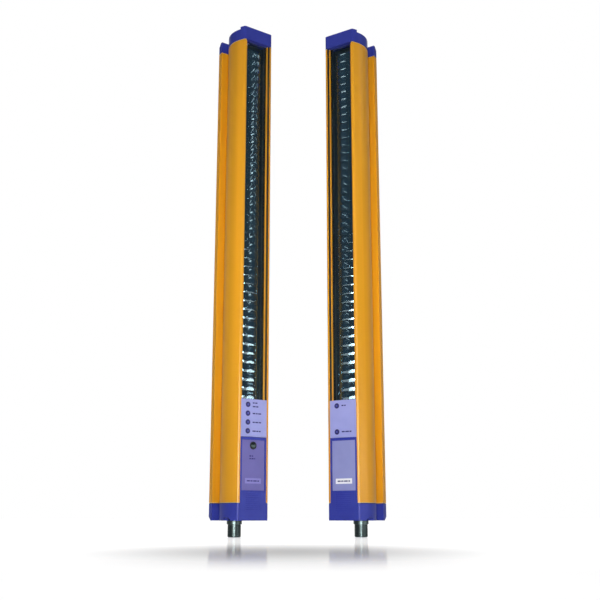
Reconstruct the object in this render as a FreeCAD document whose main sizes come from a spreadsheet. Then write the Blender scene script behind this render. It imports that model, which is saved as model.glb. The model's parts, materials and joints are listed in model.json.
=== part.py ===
"""Safety light curtain: a receiver bar and an emitter bar that stand face to face.

Each bar is modelled in a frame of its own and then turned and set down beside the other.
In a bar's frame X runs across the front, Y runs back from the front and Z runs up. Z is 0 at
the tip of the plug, which is also the floor.
"""
import FreeCAD
import Part
import math
import os

import Sketcher

SIZES = {
    # Where the two bars stand and how far each is turned in towards the other
    "receiver_x": (-45.66, "front middle of the receiver, across"),
    "receiver_y": (-25.01, "front middle of the receiver, back"),
    "receiver_turn": (35.7, "degrees about Z"),
    "emitter_x": (47.12, "front middle of the emitter, across"),
    "emitter_y": (-19.58, "front middle of the emitter, back"),
    "emitter_turn": (-32.8, "degrees about Z"),
    # Heights
    "plug_reach": (17.0, "plug below the bottom cap"),
    "bar_height": (550.0, "bottom cap to top cap"),
    "bottom_cap_height": (17.1, "skirt of the bottom cap"),
    "top_cap_height": (15.7, "skirt of the top cap"),
    "gasket_thickness": (0.6, "between a cap and the housing"),
    # Housing section
    "front_width": (37.0, "over the two front corners"),
    "depth": (51.5, "front to rear face"),
    "lip_width": (2.6, "flat lip beside the front groove"),
    "groove_width": (1.3, "front groove"),
    "groove_depth": (3.6, "front groove"),
    "rail_width": (0.9, "rail between groove and window channel"),
    "rail_drop": (2.4, "rail edge below the front"),
    "corner_radius": (2.2, "front corners"),
    "corner_flare": (0.6, "how far the corner leans out"),
    "waist_width": (40.4, "front body at the side slot"),
    "side_radius": (30.0, "curved sides"),
    "flange_thickness": (8.5, "rear flange behind the side slots"),
    "slot_width": (10.5, "side slot, front to back"),
    "neck_width": (24.0, "between the two side slots"),
    "flange_width": (46.0, "rear flange at the slot"),
    "flange_rear_width": (44.8, "rear flange at the rear face"),
    "rear_chamfer": (1.4, "rear corners"),
    "wall": (2.2, "extruded wall"),
    "ledge_width": (2.0, "seat of the window in its channel"),
    "ledge_thickness": (2.0, "front wall of the chamber"),
    "chamber_flare": (1.0, "chamber beyond the front, on each side"),
    # Cap screws
    "boss_radius": (3.4, "screw ports inside the chamber"),
    "front_screw_inset": (4.8, "front pair inside the body's side"),
    "front_screw_ahead": (5.2, "front pair before the side slots"),
    "rear_screw_inset": (5.0, "rear pair inside the flange's side"),
    "rear_screw_ahead": (4.4, "rear pair before the rear face"),
    "screw_radius": (1.45, "shank"),
    "screw_clearance": (0.1, "shank in its holes"),
    "screw_head_radius": (2.7, "pan head"),
    "screw_head_height": (2.0, "pan head"),
    "screw_bite": (12.0, "shank inside the housing"),
    "screw_slot": (0.8, "cross recess, width of an arm"),
    "recess_reach": (1.6, "cross recess, from its middle"),
    "recess_depth": (1.1, "cross recess"),
    "gasket_inset": (0.35, "gasket inside the housing's outline"),
    # Window and its front neighbours
    "window_recess": (4.2, "window below the front"),
    "window_thickness": (1.6, "window plate"),
    "window_clearance": (0.15, "window beside the rails"),
    "seal_thickness": (0.4, "window seal on the ledge"),
    "window_bottom": (123.4, "above the bottom cap's lower edge"),
    "tongue_top": (84.0, "blue tongue of the bottom cap"),
    "front_gap": (0.25, "between pieces in line along the channel"),
    "tongue_clearance": (0.1, "tongue beside lips and rails"),
    # Indicator panel
    "indicator_x": (-7.4, "indicator row from the middle"),
    "indicator_low": (90.1, "lowest indicator above the cap's lower edge"),
    "indicator_pitch": (9.1, "from one indicator to the next"),
    "indicator_radius": (2.8, "indicator lens"),
    "indicator_proud": (0.5, "lens above the panel"),
    "indicator_clearance": (0.1, "lens in its hole"),
    "indicator_flange": (0.8, "wider than the lens behind the panel"),
    # Label plate on the tongue
    "label_width": (27.4, "label plate"),
    "label_low": (30.0, "lower edge above the cap's lower edge"),
    "label_height": (51.0, "label plate"),
    "label_thickness": (0.6, "label plate"),
    "label_recess": (1.1, "its recess in the tongue"),
    "label_clearance": (0.3, "plate in its recess"),
    "plug_screw_z": (75.4, "sealing screw above the cap's lower edge"),
    "plug_screw_radius": (3.2, "sealing screw head"),
    "plug_screw_height": (1.6, "sealing screw head"),
    "plug_shank_radius": (1.9, "sealing screw shank"),
    "plug_seal_width": (0.8, "ring round the sealing screw"),
    # Ridges and cut-outs of the bottom cap
    "ridge_count": (9, "finger ridges"),
    "ridge_pitch": (2.0, "from ridge to ridge"),
    "ridge_height": (0.9, "each ridge along Z"),
    "ridge_proud": (0.35, "ridge beyond the tongue"),
    "ridge_length": (18.0, "across the front"),
    "ridge_low": (11.0, "lowest ridge"),
    "ridge_set_back": (0.35, "front of the bottom cap behind the lips"),
    "pocket_depth": (5.0, "hollow under the bottom cap"),
    "cap_floor": (2.6, "floor above that hollow"),
    "cap_rim": (2.4, "rim round that hollow"),
    "arch_y": (13.5, "arch in the cap's side, from the front"),
    "arch_width": (11.0, "arch"),
    "arch_foot": (0.5, "straight foot of the arch"),
    "arch_radius": (6.3, "arch"),
    "cap_chamfer": (5.5, "rear edge of both caps"),
    "crown_depth": (5.6, "raised front of the top cap, front to back"),
    "crown_height": (3.0, "raised front of the top cap"),
    "head_sink": (1.6, "top screws' seat below the cap's top"),
    # Optics
    "strip_count": (3, "strips one above another"),
    "lens_pitch": (9.6, "from lens to lens"),
    "lens_aperture": (10.8, "radius of a dome where it leaves the strip"),
    "lens_sphere": (24.0, "radius of a dome"),
    "strip_front": (9.0, "front of the lens strips"),
    "strip_thickness": (1.6, "lens strip"),
    "strip_width": (22.0, "lens strip"),
    "strip_gap": (0.2, "between two strips"),
    "row_margin": (0.2, "lens row above the window's lower edge"),
    "carrier_width": (27.0, "black optic carrier"),
    "carrier_clearance": (0.4, "carrier before the screw ports"),
    "aperture_size": (6.0, "square light tube"),
    "board_thickness": (1.6, "circuit boards"),
    "beam_board_width": (22.6, "beam board"),
    "diode_size": (3.0, "square body of a diode"),
    "diode_height": (2.2, "diode above the board"),
    # Control board and connector
    "control_board_y": (13.0, "front of the control board"),
    "control_board_width": (24.0, "control board"),
    "control_board_low": (30.0, "above the cap's lower edge"),
    "control_board_high": (119.0, "above the cap's lower edge"),
    "chip_height": (1.4, "chips above the board"),
    "chip_width": (10.0, "square chips"),
    "chip_low": (14.0, "lowest chip above the board's lower edge"),
    "chip_pitch": (24.0, "from chip to chip"),
    "chip_count": (3, "chips on a control board"),
    "post_radius": (2.2, "posts under the board"),
    "post_inset": (3.3, "posts inside the board's long edges"),
    "post_end": (4.4, "posts from the board's foot and from the tongue's top"),
    "post_screw_radius": (1.2, "board screws"),
    "connector_ahead": (16.1, "connector before the rear face"),
    "barrel_radius": (7.1, "threaded barrel"),
    "barrel_wall": (1.6, "threaded barrel"),
    "barrel_chamfer": (0.9, "mouth of the barrel"),
    "collar_radius": (8.0, "collar above the thread"),
    "collar_low": (-4.0, "lower edge of the collar"),
    "flange_radius": (9.0, "hexagon flange in the hollow"),
    "flange_height": (2.4, "hexagon flange"),
    "rear_barrel_radius": (5.6, "barrel behind the flange"),
    "rear_barrel_length": (9.0, "barrel behind the cap's floor"),
    "nut_thickness": (2.4, "lock nut inside the cap"),
    "nut_radius": (8.4, "lock nut, to a corner"),
    "ring_thickness": (0.6, "sealing ring above the flange"),
    "insert_step": (6.0, "contact face above the barrel's mouth"),
    "pin_radius": (0.5, "contacts"),
    "pin_circle": (2.75, "radius of the contact circle"),
    "pin_length": (5.0, "contact in front of the insert"),
    "lead_length": (8.0, "solder tails above the barrel"),
}

RECEIVER = "receiver"
EMITTER = "emitter"
CONTACTS = {RECEIVER: 8, EMITTER: 4}
INDICATOR_PLACES = {RECEIVER: (0, 1, 2, 3), EMITTER: (0, 3)}
BEAM_PLANES = ("lower", "middle", "upper")

doc = FreeCAD.newDocument("SafetyLightCurtain")


class Size:
    """A number with the formula that gives it, so that geometry is both built and bound."""

    def __init__(self, value, formula):
        self.value = float(value)
        self.formula = formula

    def __add__(self, other):
        other = as_size(other)
        return Size(self.value + other.value, f"({self.formula} + {other.formula})")

    def __sub__(self, other):
        other = as_size(other)
        return Size(self.value - other.value, f"({self.formula} - {other.formula})")

    def __mul__(self, other):
        other = as_size(other)
        return Size(self.value * other.value, f"({self.formula} * {other.formula})")

    def __truediv__(self, other):
        other = as_size(other)
        return Size(self.value / other.value, f"({self.formula} / {other.formula})")

    def __neg__(self):
        return Size(-self.value, f"(0 - {self.formula})")

    def __radd__(self, other):
        return as_size(other) + self

    def __rsub__(self, other):
        return as_size(other) - self

    def __rmul__(self, other):
        return as_size(other) * self


def as_size(value):
    """A plain number becomes a Size whose formula is the number itself."""
    return value if isinstance(value, Size) else Size(value, repr(float(value)))


def whole(size):
    """The whole part of a Size, for a number of repeats."""
    return Size(math.floor(size.value), f"floor({size.formula})")


class Sheet:
    """The spreadsheet of driving sizes, read back as Size values by their names."""

    def __init__(self):
        self.cells = doc.addObject("Spreadsheet::Sheet", "Sizes")
        for row, (alias, (value, note)) in enumerate(SIZES.items(), start=1):
            self.cells.set(f"A{row}", alias)
            self.cells.set(f"B{row}", str(value))
            self.cells.setAlias(f"B{row}", alias)
            self.cells.set(f"C{row}", note)
        doc.recompute()

    def __getattr__(self, alias):
        return Size(SIZES[alias][0], f"Sizes.{alias}")


s = Sheet()


def bind(thing, path, size):
    """Set one property of an object from a Size, and tie it to the sheet."""
    thing.setExpression(path, as_size(size).formula)


def new_body(node, bar):
    """A PartDesign body that stands where its bar stands."""
    body = doc.addObject("PartDesign::Body", node)
    body.Label = node
    body.AllowCompound = True
    turn = getattr(s, f"{bar}_turn")
    body.Placement = FreeCAD.Placement(
        FreeCAD.Vector(), FreeCAD.Rotation(FreeCAD.Vector(0, 0, 1), turn.value))
    bind(body, "Placement.Base.x", getattr(s, f"{bar}_x"))
    bind(body, "Placement.Base.y", getattr(s, f"{bar}_y"))
    bind(body, "Placement.Rotation.Angle", turn)
    return body


def origin_feature(body, role):
    """One of the body's own origin planes or axes."""
    return next(item for item in body.Origin.OriginFeatures if item.Role == role)


# A sketch's own axes lie along these axes of the bar, and its offset moves along the third
SKETCH_AXES = {"XY_Plane": ("x", "y", "z"), "XZ_Plane": ("x", "z", "y"), "YZ_Plane": ("y", "z", "x")}


def new_sketch(body, plane, place):
    """An empty sketch on an origin plane, moved to a point of the bar."""
    sketch = body.newObject("Sketcher::SketchObject", f"{body.Name}_sketch")
    sketch.AttachmentSupport = [(origin_feature(body, plane), "")]
    sketch.MapMode = "FlatFace"
    for offset_axis, bar_axis in zip("xyz", SKETCH_AXES[plane]):
        size = as_size(place.get(bar_axis, 0.0))
        if plane == "XZ_Plane" and bar_axis == "y":
            size = -size
        bind(sketch, f"AttachmentOffset.Base.{offset_axis}", size)
    return sketch


def bulge_centre(start, end, radius):
    """Centre of the minor arc from start to end that bulges to the right of the way along."""
    half = (end - start) * 0.5
    rise = math.sqrt(radius * radius - half.Length ** 2)
    left = FreeCAD.Vector(-half.y, half.x, 0).normalize()
    return start + half + left * rise


def draw_loop(sketch, corners):
    """A closed outline. A corner is (u, v), or (u, v, radius) where an arc leads to the next.

    Every corner and every arc's radius is a constraint tied to the sheet.
    """
    points = [FreeCAD.Vector(as_size(c[0]).value, as_size(c[1]).value, 0) for c in corners]
    first = sketch.GeometryCount
    heads = []
    for index, corner in enumerate(corners):
        start = points[index]
        end = points[(index + 1) % len(points)]
        if len(corner) == 3:
            radius = as_size(corner[2]).value
            centre = bulge_centre(start, end, radius)
            middle = centre + ((start + end) * 0.5 - centre).normalize() * radius
            sketch.addGeometry(Part.Arc(start, middle, end))
            arc = sketch.Geometry[first + index]
            forward = (arc.StartPoint - start).Length < (arc.EndPoint - start).Length
            heads.append((1, 2) if forward else (2, 1))
        else:
            sketch.addGeometry(Part.LineSegment(start, end))
            heads.append((1, 2))
    for index, corner in enumerate(corners):
        edge = first + index
        head = heads[index][0]
        before = (index - 1) % len(corners)
        sketch.addConstraint(
            Sketcher.Constraint("Coincident", first + before, heads[before][1], edge, head))
        for kind, value in (("DistanceX", corner[0]), ("DistanceY", corner[1])):
            number = sketch.addConstraint(
                Sketcher.Constraint(kind, -1, 1, edge, head, as_size(value).value))
            bind(sketch, f"Constraints[{number}]", value)
        if len(corner) == 3:
            number = sketch.addConstraint(
                Sketcher.Constraint("Radius", edge, as_size(corner[2]).value))
            bind(sketch, f"Constraints[{number}]", corner[2])


def draw_circle(sketch, u, v, radius):
    """A circle whose centre and radius are tied to the sheet."""
    centre = FreeCAD.Vector(as_size(u).value, as_size(v).value, 0)
    up = FreeCAD.Vector(0, 0, 1)
    edge = sketch.addGeometry(Part.Circle(centre, up, as_size(radius).value))
    number = sketch.addConstraint(Sketcher.Constraint("Radius", edge, as_size(radius).value))
    bind(sketch, f"Constraints[{number}]", radius)
    for kind, value in (("DistanceX", u), ("DistanceY", v)):
        number = sketch.addConstraint(
            Sketcher.Constraint(kind, -1, 1, edge, 3, as_size(value).value))
        bind(sketch, f"Constraints[{number}]", value)


def draw(sketch, shapes):
    """Draw outlines, given as lists of corners, and circles, given as (u, v, radius)."""
    for shape in shapes:
        if isinstance(shape, tuple):
            draw_circle(sketch, *shape)
        else:
            draw_loop(sketch, shape)


def extrude(body, shapes, low, high, plane="XY_Plane", cut=False):
    """Add or cut a prism between two stations along the normal of an origin plane."""
    low = as_size(low)
    high = as_size(high)
    axis = SKETCH_AXES[plane][2]
    backwards = plane == "XZ_Plane"
    sketch = new_sketch(body, plane, {axis: high if backwards else low})
    draw(sketch, shapes)
    kind = "Pocket" if cut else "Pad"
    feature = body.newObject(f"PartDesign::{kind}", f"{body.Name}_{kind.lower()}")
    feature.Profile = sketch
    bind(feature, "Length", high - low)
    feature.Reversed = cut
    return feature


def revolve(body, corners, place, plane="XZ_Plane", axis="V_Axis", cut=False):
    """Add or cut a solid of revolution about one axis of a sketch."""
    sketch = new_sketch(body, plane, place)
    draw(sketch, [corners])
    kind = "Groove" if cut else "Revolution"
    feature = body.newObject(f"PartDesign::{kind}", f"{body.Name}_{kind.lower()}")
    feature.Profile = sketch
    feature.ReferenceAxis = (sketch, [axis])
    feature.Angle = 360.0
    return feature


def repeat_up(body, feature, pitch, count):
    """Repeat a feature along Z."""
    pattern = body.newObject("PartDesign::LinearPattern", f"{body.Name}_row")
    pattern.Originals = [feature]
    pattern.Direction = (origin_feature(body, "Z_Axis"), [""])
    pattern.Mode = "Spacing"
    bind(pattern, "Offset", pitch)
    bind(pattern, "Occurrences", count)
    body.Tip = pattern
    return pattern


def rectangle(low_u, low_v, high_u, high_v):
    """Corners of a rectangle."""
    return [(low_u, low_v), (high_u, low_v), (high_u, high_v), (low_u, high_v)]


def band(half_width, low_v, high_v):
    """A rectangle that is centred across the bar."""
    return rectangle(-half_width, low_v, half_width, high_v)


def regular_polygon(u, v, radius, count):
    """Corners of a regular polygon, round a centre."""
    angles = [2 * math.pi * index / count for index in range(count)]
    return [(u + radius * math.cos(a), v + radius * math.sin(a)) for a in angles]


def mirrored(half):
    """Close an outline from its right half, which runs from the middle line outwards and round.

    An arc's radius stands at the corner where it starts, so on the left it moves one corner on.
    """
    left = []
    for index in range(len(half) - 1, -1, -1):
        u, v = half[index][:2]
        arc_before = half[index - 1][2:] if index > 0 else ()
        left.append((-u, v) + tuple(arc_before))
    return half + left


# Sizes that several pieces share
half_front = s.front_width / 2
slot_back = s.depth - s.flange_thickness
slot_front = slot_back - s.slot_width
lip_inner = half_front - s.lip_width
rail_outer = lip_inner - s.groove_width
channel_half = rail_outer - s.rail_width
ledge_half = channel_half - s.ledge_width
window_front = s.window_recess
window_back = window_front + s.window_thickness
ledge_depth = window_back + s.seal_thickness
chamber_front = ledge_depth + s.ledge_thickness
chamber_rear = slot_front - s.wall
neck_half = s.neck_width / 2
cap_low = s.plug_reach
housing_low = cap_low + s.bottom_cap_height + s.gasket_thickness
cap_high = cap_low + s.bar_height
housing_high = cap_high - s.top_cap_height - s.gasket_thickness
front_screw_x = s.waist_width / 2 - s.front_screw_inset
front_screw_y = slot_front - s.front_screw_ahead
rear_screw_x = s.flange_width / 2 - s.rear_screw_inset
rear_screw_y = s.depth - s.rear_screw_ahead
bore_radius = s.screw_radius + s.screw_clearance
window_low = cap_low + s.window_bottom
window_high = housing_high - s.front_gap
lens_count = whole((window_high - window_low) / (s.lens_pitch * s.strip_count))
row_length = s.lens_pitch * lens_count * s.strip_count
row_low = window_low + s.row_margin
strip_back = s.strip_front + s.strip_thickness
carrier_back = front_screw_y - s.boss_radius - s.carrier_clearance
connector_y = s.depth - s.connector_ahead


def outer_half(inset=0.0):
    """Right half of the outer outline, from the front corner round to the rear face."""
    corner_in = half_front - s.corner_radius
    corner_out = half_front + s.corner_flare
    rear_half = s.flange_rear_width / 2
    return [
        (corner_in - inset, as_size(inset), s.corner_radius + s.corner_flare),
        (corner_out - inset, s.corner_radius + inset, s.side_radius),
        (s.waist_width / 2 - inset, slot_front - inset),
        (neck_half - inset, slot_front - inset),
        (neck_half - inset, slot_back + inset),
        (s.flange_width / 2 - inset, slot_back + inset),
        (rear_half - inset, s.depth - s.rear_chamfer - inset),
        (rear_half - s.rear_chamfer - inset, s.depth - inset),
    ]


def section_half(inset=0.0):
    """Right half of the housing's section, open at the front: inside first, then outside."""
    inside = [
        (neck_half - s.wall, s.depth - s.wall),
        (neck_half - s.wall, chamber_rear),
        (s.waist_width / 2 - s.wall, chamber_rear),
        (half_front + s.chamber_flare, chamber_front),
        (ledge_half, chamber_front),
        (ledge_half, ledge_depth),
        (channel_half, ledge_depth),
        (channel_half, s.rail_drop),
        (rail_outer, s.rail_drop),
        (rail_outer, s.groove_depth),
        (lip_inner, s.groove_depth),
        (lip_inner, as_size(inset)),
    ]
    return inside + outer_half(inset)


def section_outline(inset=0.0):
    """The whole section: the inside runs forwards, the outside back, and the left half returns."""
    return mirrored(section_half(inset))


def cap_outline():
    """The closed outline of a cap, flush with the housing all round."""
    return mirrored(outer_half())


def screw_points():
    """The four cap screws in plan: a front pair and a rear pair."""
    pairs = ((front_screw_x, front_screw_y), (rear_screw_x, rear_screw_y))
    return [(side * x, y) for x, y in pairs for side in (-1, 1)]


def make_profile_piece(node, bar, low, high, inset=0.0):
    """A length of the housing's section with its screw ports, as the housing and its gaskets are."""
    body = new_body(node, bar)
    extrude(body, [section_outline(inset)], low, high)
    bosses = [(side * front_screw_x, front_screw_y, s.boss_radius) for side in (-1, 1)]
    extrude(body, bosses, low, high)
    extrude(body, [(x, y, bore_radius) for x, y in screw_points()], low, high, cut=True)
    return body


def hollow_outline(wide, rim, front):
    """Outline of a cap's hollow: wide behind the front, narrow between the side slots."""
    narrow = neck_half - rim
    return mirrored([
        (wide, front),
        (wide, slot_front - rim),
        (narrow, slot_front - rim),
        (narrow, s.depth - s.cap_chamfer - rim),
    ])


def inner_hollow():
    """The hollow that a cap has towards the housing: it leaves a column round each front screw."""
    return hollow_outline(front_screw_x - s.boss_radius, s.wall, ledge_depth + s.wall)


def cut_rear_chamfer(body, edge, inwards):
    """Cut the sloping rear edge of a cap, at its top or its bottom."""
    size = s.cap_chamfer
    beyond = s.depth + size
    slope = [(s.depth - size, edge), (beyond, edge), (beyond, edge + inwards * (size + size))]
    extrude(body, [slope], -s.flange_width, s.flange_width, plane="YZ_Plane", cut=True)


def add_tongue(body, low, high):
    """The tongue that closes the window channel: a flange over the rails and a web between them."""
    web = channel_half - s.tongue_clearance
    flange = lip_inner - s.tongue_clearance
    extrude(body, [band(flange, as_size(0.0), s.rail_drop - s.front_gap)], low, high)
    extrude(body, [band(web, as_size(0.0), ledge_depth - s.front_gap)], low, high)


def make_bottom_cap(bar):
    """Bottom cap: skirt, front tongue with label recess, ridges, hollow underside and arches."""
    body = new_body(f"{bar}_bottom_cap", bar)
    skirt_top = cap_low + s.bottom_cap_height
    floor_low = cap_low + s.pocket_depth
    floor_high = floor_low + s.cap_floor
    extrude(body, [cap_outline()], cap_low, skirt_top)
    add_tongue(body, skirt_top, cap_low + s.tongue_top)
    underside = hollow_outline(s.waist_width / 2 - s.cap_rim, s.cap_rim, s.cap_rim + s.ridge_set_back)
    extrude(body, [underside], cap_low, floor_low, cut=True)
    extrude(body, [inner_hollow()], floor_high, skirt_top, cut=True)
    extrude(body, [(as_size(0.0), connector_y, s.rear_barrel_radius + s.screw_clearance)],
            floor_low, floor_high, cut=True)
    extrude(body, [(x, y, bore_radius) for x, y in screw_points()], floor_low, skirt_top, cut=True)
    head_bore = s.screw_head_radius + s.screw_clearance * 2
    extrude(body, [(x, y, head_bore) for x, y in screw_points()], cap_low, floor_low, cut=True)
    cut_rear_chamfer(body, cap_low, 1)
    half_arch = s.arch_width / 2
    arch_low = cap_low - s.arch_foot
    arch_spring = cap_low + s.arch_foot
    arch = [
        (s.arch_y - half_arch, arch_low),
        (s.arch_y + half_arch, arch_low),
        (s.arch_y + half_arch, arch_spring, s.arch_radius),
        (s.arch_y - half_arch, arch_spring),
    ]
    extrude(body, [arch], -s.front_width, s.front_width, plane="YZ_Plane", cut=True)
    recess_half = s.label_width / 2 + s.label_clearance
    recess_low = cap_low + s.label_low - s.label_clearance
    recess_high = cap_low + s.label_low + s.label_height + s.label_clearance
    extrude(body, [rectangle(-recess_half, recess_low, recess_half, recess_high)],
            as_size(0.0), s.label_recess, plane="XZ_Plane", cut=True)
    if bar == RECEIVER:
        hole = (as_size(0.0), cap_low + s.plug_screw_z, s.plug_shank_radius + s.screw_clearance)
        extrude(body, [hole], s.label_recess, ledge_depth, plane="XZ_Plane", cut=True)
    ridge_low = cap_low + s.ridge_low
    extrude(body, [rectangle(-s.ridge_length / 2, ridge_low - s.ridge_height,
                             s.ridge_length / 2, ridge_low + s.ridge_pitch * s.ridge_count)],
            as_size(0.0), s.ridge_set_back, plane="XZ_Plane", cut=True)
    ridge = extrude(body, [rectangle(-s.ridge_length / 2, ridge_low, s.ridge_length / 2,
                                     ridge_low + s.ridge_height)],
                    s.ridge_set_back - s.ridge_proud, s.ridge_set_back, plane="XZ_Plane")
    repeat_up(body, ridge, s.ridge_pitch, s.ridge_count)
    return body


def make_top_cap(bar):
    """Top cap: skirt with a raised front, screw seats and a hollow inside."""
    body = new_body(f"{bar}_top_cap", bar)
    skirt_low = cap_high - s.top_cap_height
    deck = cap_high - s.crown_height
    extrude(body, [cap_outline()], skirt_low, deck)
    extrude(body, [cap_outline()], deck, cap_high)
    behind_crown = band(s.waist_width, s.crown_depth, s.depth + s.wall)
    extrude(body, [behind_crown], deck, cap_high, cut=True)
    extrude(body, [inner_hollow()], skirt_low, deck - s.cap_floor - s.head_sink, cut=True)
    extrude(body, [(x, y, bore_radius) for x, y in screw_points()], skirt_low, cap_high, cut=True)
    head_bore = s.screw_head_radius + s.screw_clearance * 2
    seats = [(x, y, head_bore) for x, y in screw_points()]
    extrude(body, seats, deck - s.head_sink, cap_high, cut=True)
    cut_rear_chamfer(body, deck, -1)
    return body


def make_cap_screws(node, bar, seat, way):
    """Four pan-head screws with a cross recess. Way is 1 where they point up and -1 where down."""
    body = new_body(node, bar)
    if way == 1:
        cap_part = s.bottom_cap_height - s.pocket_depth
    else:
        cap_part = s.top_cap_height - s.crown_height - s.head_sink
    tip = seat + way * (cap_part + s.gasket_thickness + s.screw_bite)
    top = seat - way * s.screw_head_height
    shank = (seat, tip) if way == 1 else (tip, seat)
    head = (top, seat) if way == 1 else (seat, top)
    extrude(body, [(x, y, s.screw_radius) for x, y in screw_points()], *shank)
    extrude(body, [(x, y, s.screw_head_radius) for x, y in screw_points()], *head)
    arm = s.recess_reach
    half = s.screw_slot / 2
    cut = (top, top + s.recess_depth) if way == 1 else (top - s.recess_depth, top)
    for x, y in screw_points():
        extrude(body, [rectangle(x - arm, y - half, x + arm, y + half)], *cut, cut=True)
        extrude(body, [rectangle(x - half, y - arm, x + half, y + arm)], *cut, cut=True)
    return body


def make_window(bar):
    """The dark window plate in its channel, and a seal strip behind each long edge."""
    half = channel_half - s.window_clearance
    window = new_body(f"{bar}_window", bar)
    extrude(window, [band(half, window_front, window_back)], window_low, window_high)
    seals = new_body(f"{bar}_window_seals", bar)
    strips = [rectangle(ledge_half + s.window_clearance, window_back, half, ledge_depth),
              rectangle(-half, window_back, -(ledge_half + s.window_clearance), ledge_depth)]
    extrude(seals, strips, window_low, window_high)
    return [window, seals]


def make_lens_strip(node, bar, index):
    """One moulded strip: a flat back with a row of domes that run into each other."""
    body = new_body(node, bar)
    low = row_low + s.lens_pitch * lens_count * index
    high = low + s.lens_pitch * lens_count
    foot = low + s.strip_gap / 2
    head = high - s.strip_gap / 2
    extrude(body, [band(s.strip_width / 2, s.strip_front, strip_back)], foot, head)
    rise = math.sqrt(s.lens_sphere.value ** 2 - s.lens_aperture.value ** 2)
    sag_formula = "(Sizes.lens_sphere - sqrt(Sizes.lens_sphere ^ 2 - Sizes.lens_aperture ^ 2))"
    sag = Size(s.lens_sphere.value - rise, sag_formula)
    root = s.strip_front + s.strip_thickness / 2
    dome = [(s.strip_front - sag, as_size(0.0)), (root, as_size(0.0)), (root, s.lens_aperture),
            (s.strip_front, s.lens_aperture, s.lens_sphere)]
    first = revolve(body, dome, {"z": low + s.lens_pitch / 2}, plane="YZ_Plane", axis="H_Axis")
    repeat_up(body, first, s.lens_pitch, lens_count)
    ends = rectangle(-s.strip_width, s.strip_front - s.lens_sphere, s.strip_width, strip_back)
    extrude(body, [ends], low - s.lens_pitch, foot, cut=True)
    extrude(body, [ends], head, high + s.lens_pitch, cut=True)
    return body


def make_optic_carrier(bar):
    """The black carrier behind the lenses, with a square light tube for each beam."""
    body = new_body(f"{bar}_optic_carrier", bar)
    carrier_half = s.carrier_width / 2
    rail_inner = s.strip_width / 2 + s.strip_gap
    extrude(body, [band(carrier_half, strip_back, carrier_back)], window_low, window_high)
    rails = [rectangle(rail_inner, chamber_front, carrier_half, strip_back),
             rectangle(-carrier_half, chamber_front, -rail_inner, strip_back)]
    extrude(body, rails, window_low, window_high)
    half = s.aperture_size / 2
    middle = row_low + s.lens_pitch / 2
    tube = extrude(body, [rectangle(-half, middle - half, half, middle + half)],
                   strip_back, carrier_back, plane="XZ_Plane", cut=True)
    repeat_up(body, tube, s.lens_pitch, lens_count * s.strip_count)
    return body


def make_beam_board(bar):
    """The long circuit board behind the carrier, and a diode for each beam."""
    board = new_body(f"{bar}_beam_board", bar)
    extrude(board, [band(s.beam_board_width / 2, carrier_back, carrier_back + s.board_thickness)],
            row_low, row_low + row_length)
    diodes = new_body(f"{bar}_beam_diodes", bar)
    half = s.diode_size / 2
    middle = row_low + s.lens_pitch / 2
    first = extrude(diodes, [rectangle(-half, middle - half, half, middle + half)],
                    carrier_back - s.diode_height, carrier_back, plane="XZ_Plane")
    repeat_up(diodes, first, s.lens_pitch, lens_count * s.strip_count)
    return [board, diodes]


def indicator_heights(bar):
    """Heights of a bar's indicators."""
    return [cap_low + s.indicator_low + s.indicator_pitch * place for place in INDICATOR_PLACES[bar]]


def make_indicator_panel(bar):
    """The light panel between tongue and window, with its holes, and the lenses in them."""
    low = cap_low + s.tongue_top + s.front_gap
    high = window_low - s.front_gap
    panel = new_body(f"{bar}_indicator_panel", bar)
    add_tongue(panel, low, high)
    hole = s.indicator_radius + s.indicator_clearance
    holes = [(s.indicator_x, z, hole) for z in indicator_heights(bar)]
    extrude(panel, holes, as_size(0.0), ledge_depth, plane="XZ_Plane", cut=True)
    lenses = new_body(f"{bar}_indicator_lenses", bar)
    stems = [(s.indicator_x, z, s.indicator_radius) for z in indicator_heights(bar)]
    back = ledge_depth - s.front_gap
    extrude(lenses, stems, -s.indicator_proud, back, plane="XZ_Plane")
    rims = [(s.indicator_x, z, s.indicator_radius + s.indicator_flange) for z in indicator_heights(bar)]
    extrude(lenses, rims, back, back + s.indicator_flange, plane="XZ_Plane")
    return [panel, lenses]


def make_label(bar):
    """The thin label plate in the tongue's recess. The receiver's has a hole for a sealing screw."""
    body = new_body(f"{bar}_label_plate", bar)
    low = cap_low + s.label_low
    face = s.label_recess - s.label_thickness
    half = s.label_width / 2
    extrude(body, [rectangle(-half, low, half, low + s.label_height)], face, s.label_recess,
            plane="XZ_Plane")
    if bar == RECEIVER:
        ring = s.plug_screw_radius + s.plug_seal_width + s.label_clearance
        extrude(body, [(as_size(0.0), cap_low + s.plug_screw_z, ring)], face, s.label_recess,
                plane="XZ_Plane", cut=True)
    return body


def make_sealing_screw():
    """The receiver's slotted sealing screw with the ring that it presses on."""
    z = cap_low + s.plug_screw_z
    ring = new_body("receiver_sealing_ring", RECEIVER)
    outer = s.plug_screw_radius + s.plug_seal_width
    extrude(ring, [(as_size(0.0), z, outer), (as_size(0.0), z, s.plug_shank_radius + s.screw_clearance)],
            s.label_recess - s.label_thickness, s.label_recess, plane="XZ_Plane")
    screw = new_body("receiver_sealing_screw", RECEIVER)
    seat = s.label_recess - s.label_thickness
    extrude(screw, [(as_size(0.0), z, s.plug_shank_radius)], seat, ledge_depth - s.front_gap,
            plane="XZ_Plane")
    extrude(screw, [(as_size(0.0), z, s.plug_screw_radius)], seat - s.plug_screw_height, seat,
            plane="XZ_Plane")
    half = s.screw_slot / 2
    slot = rectangle(-s.plug_screw_radius, z - half, s.plug_screw_radius, z + half)
    extrude(screw, [slot], seat - s.plug_screw_height, seat - s.plug_screw_height / 2,
            plane="XZ_Plane", cut=True)
    return [ring, screw]


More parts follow.
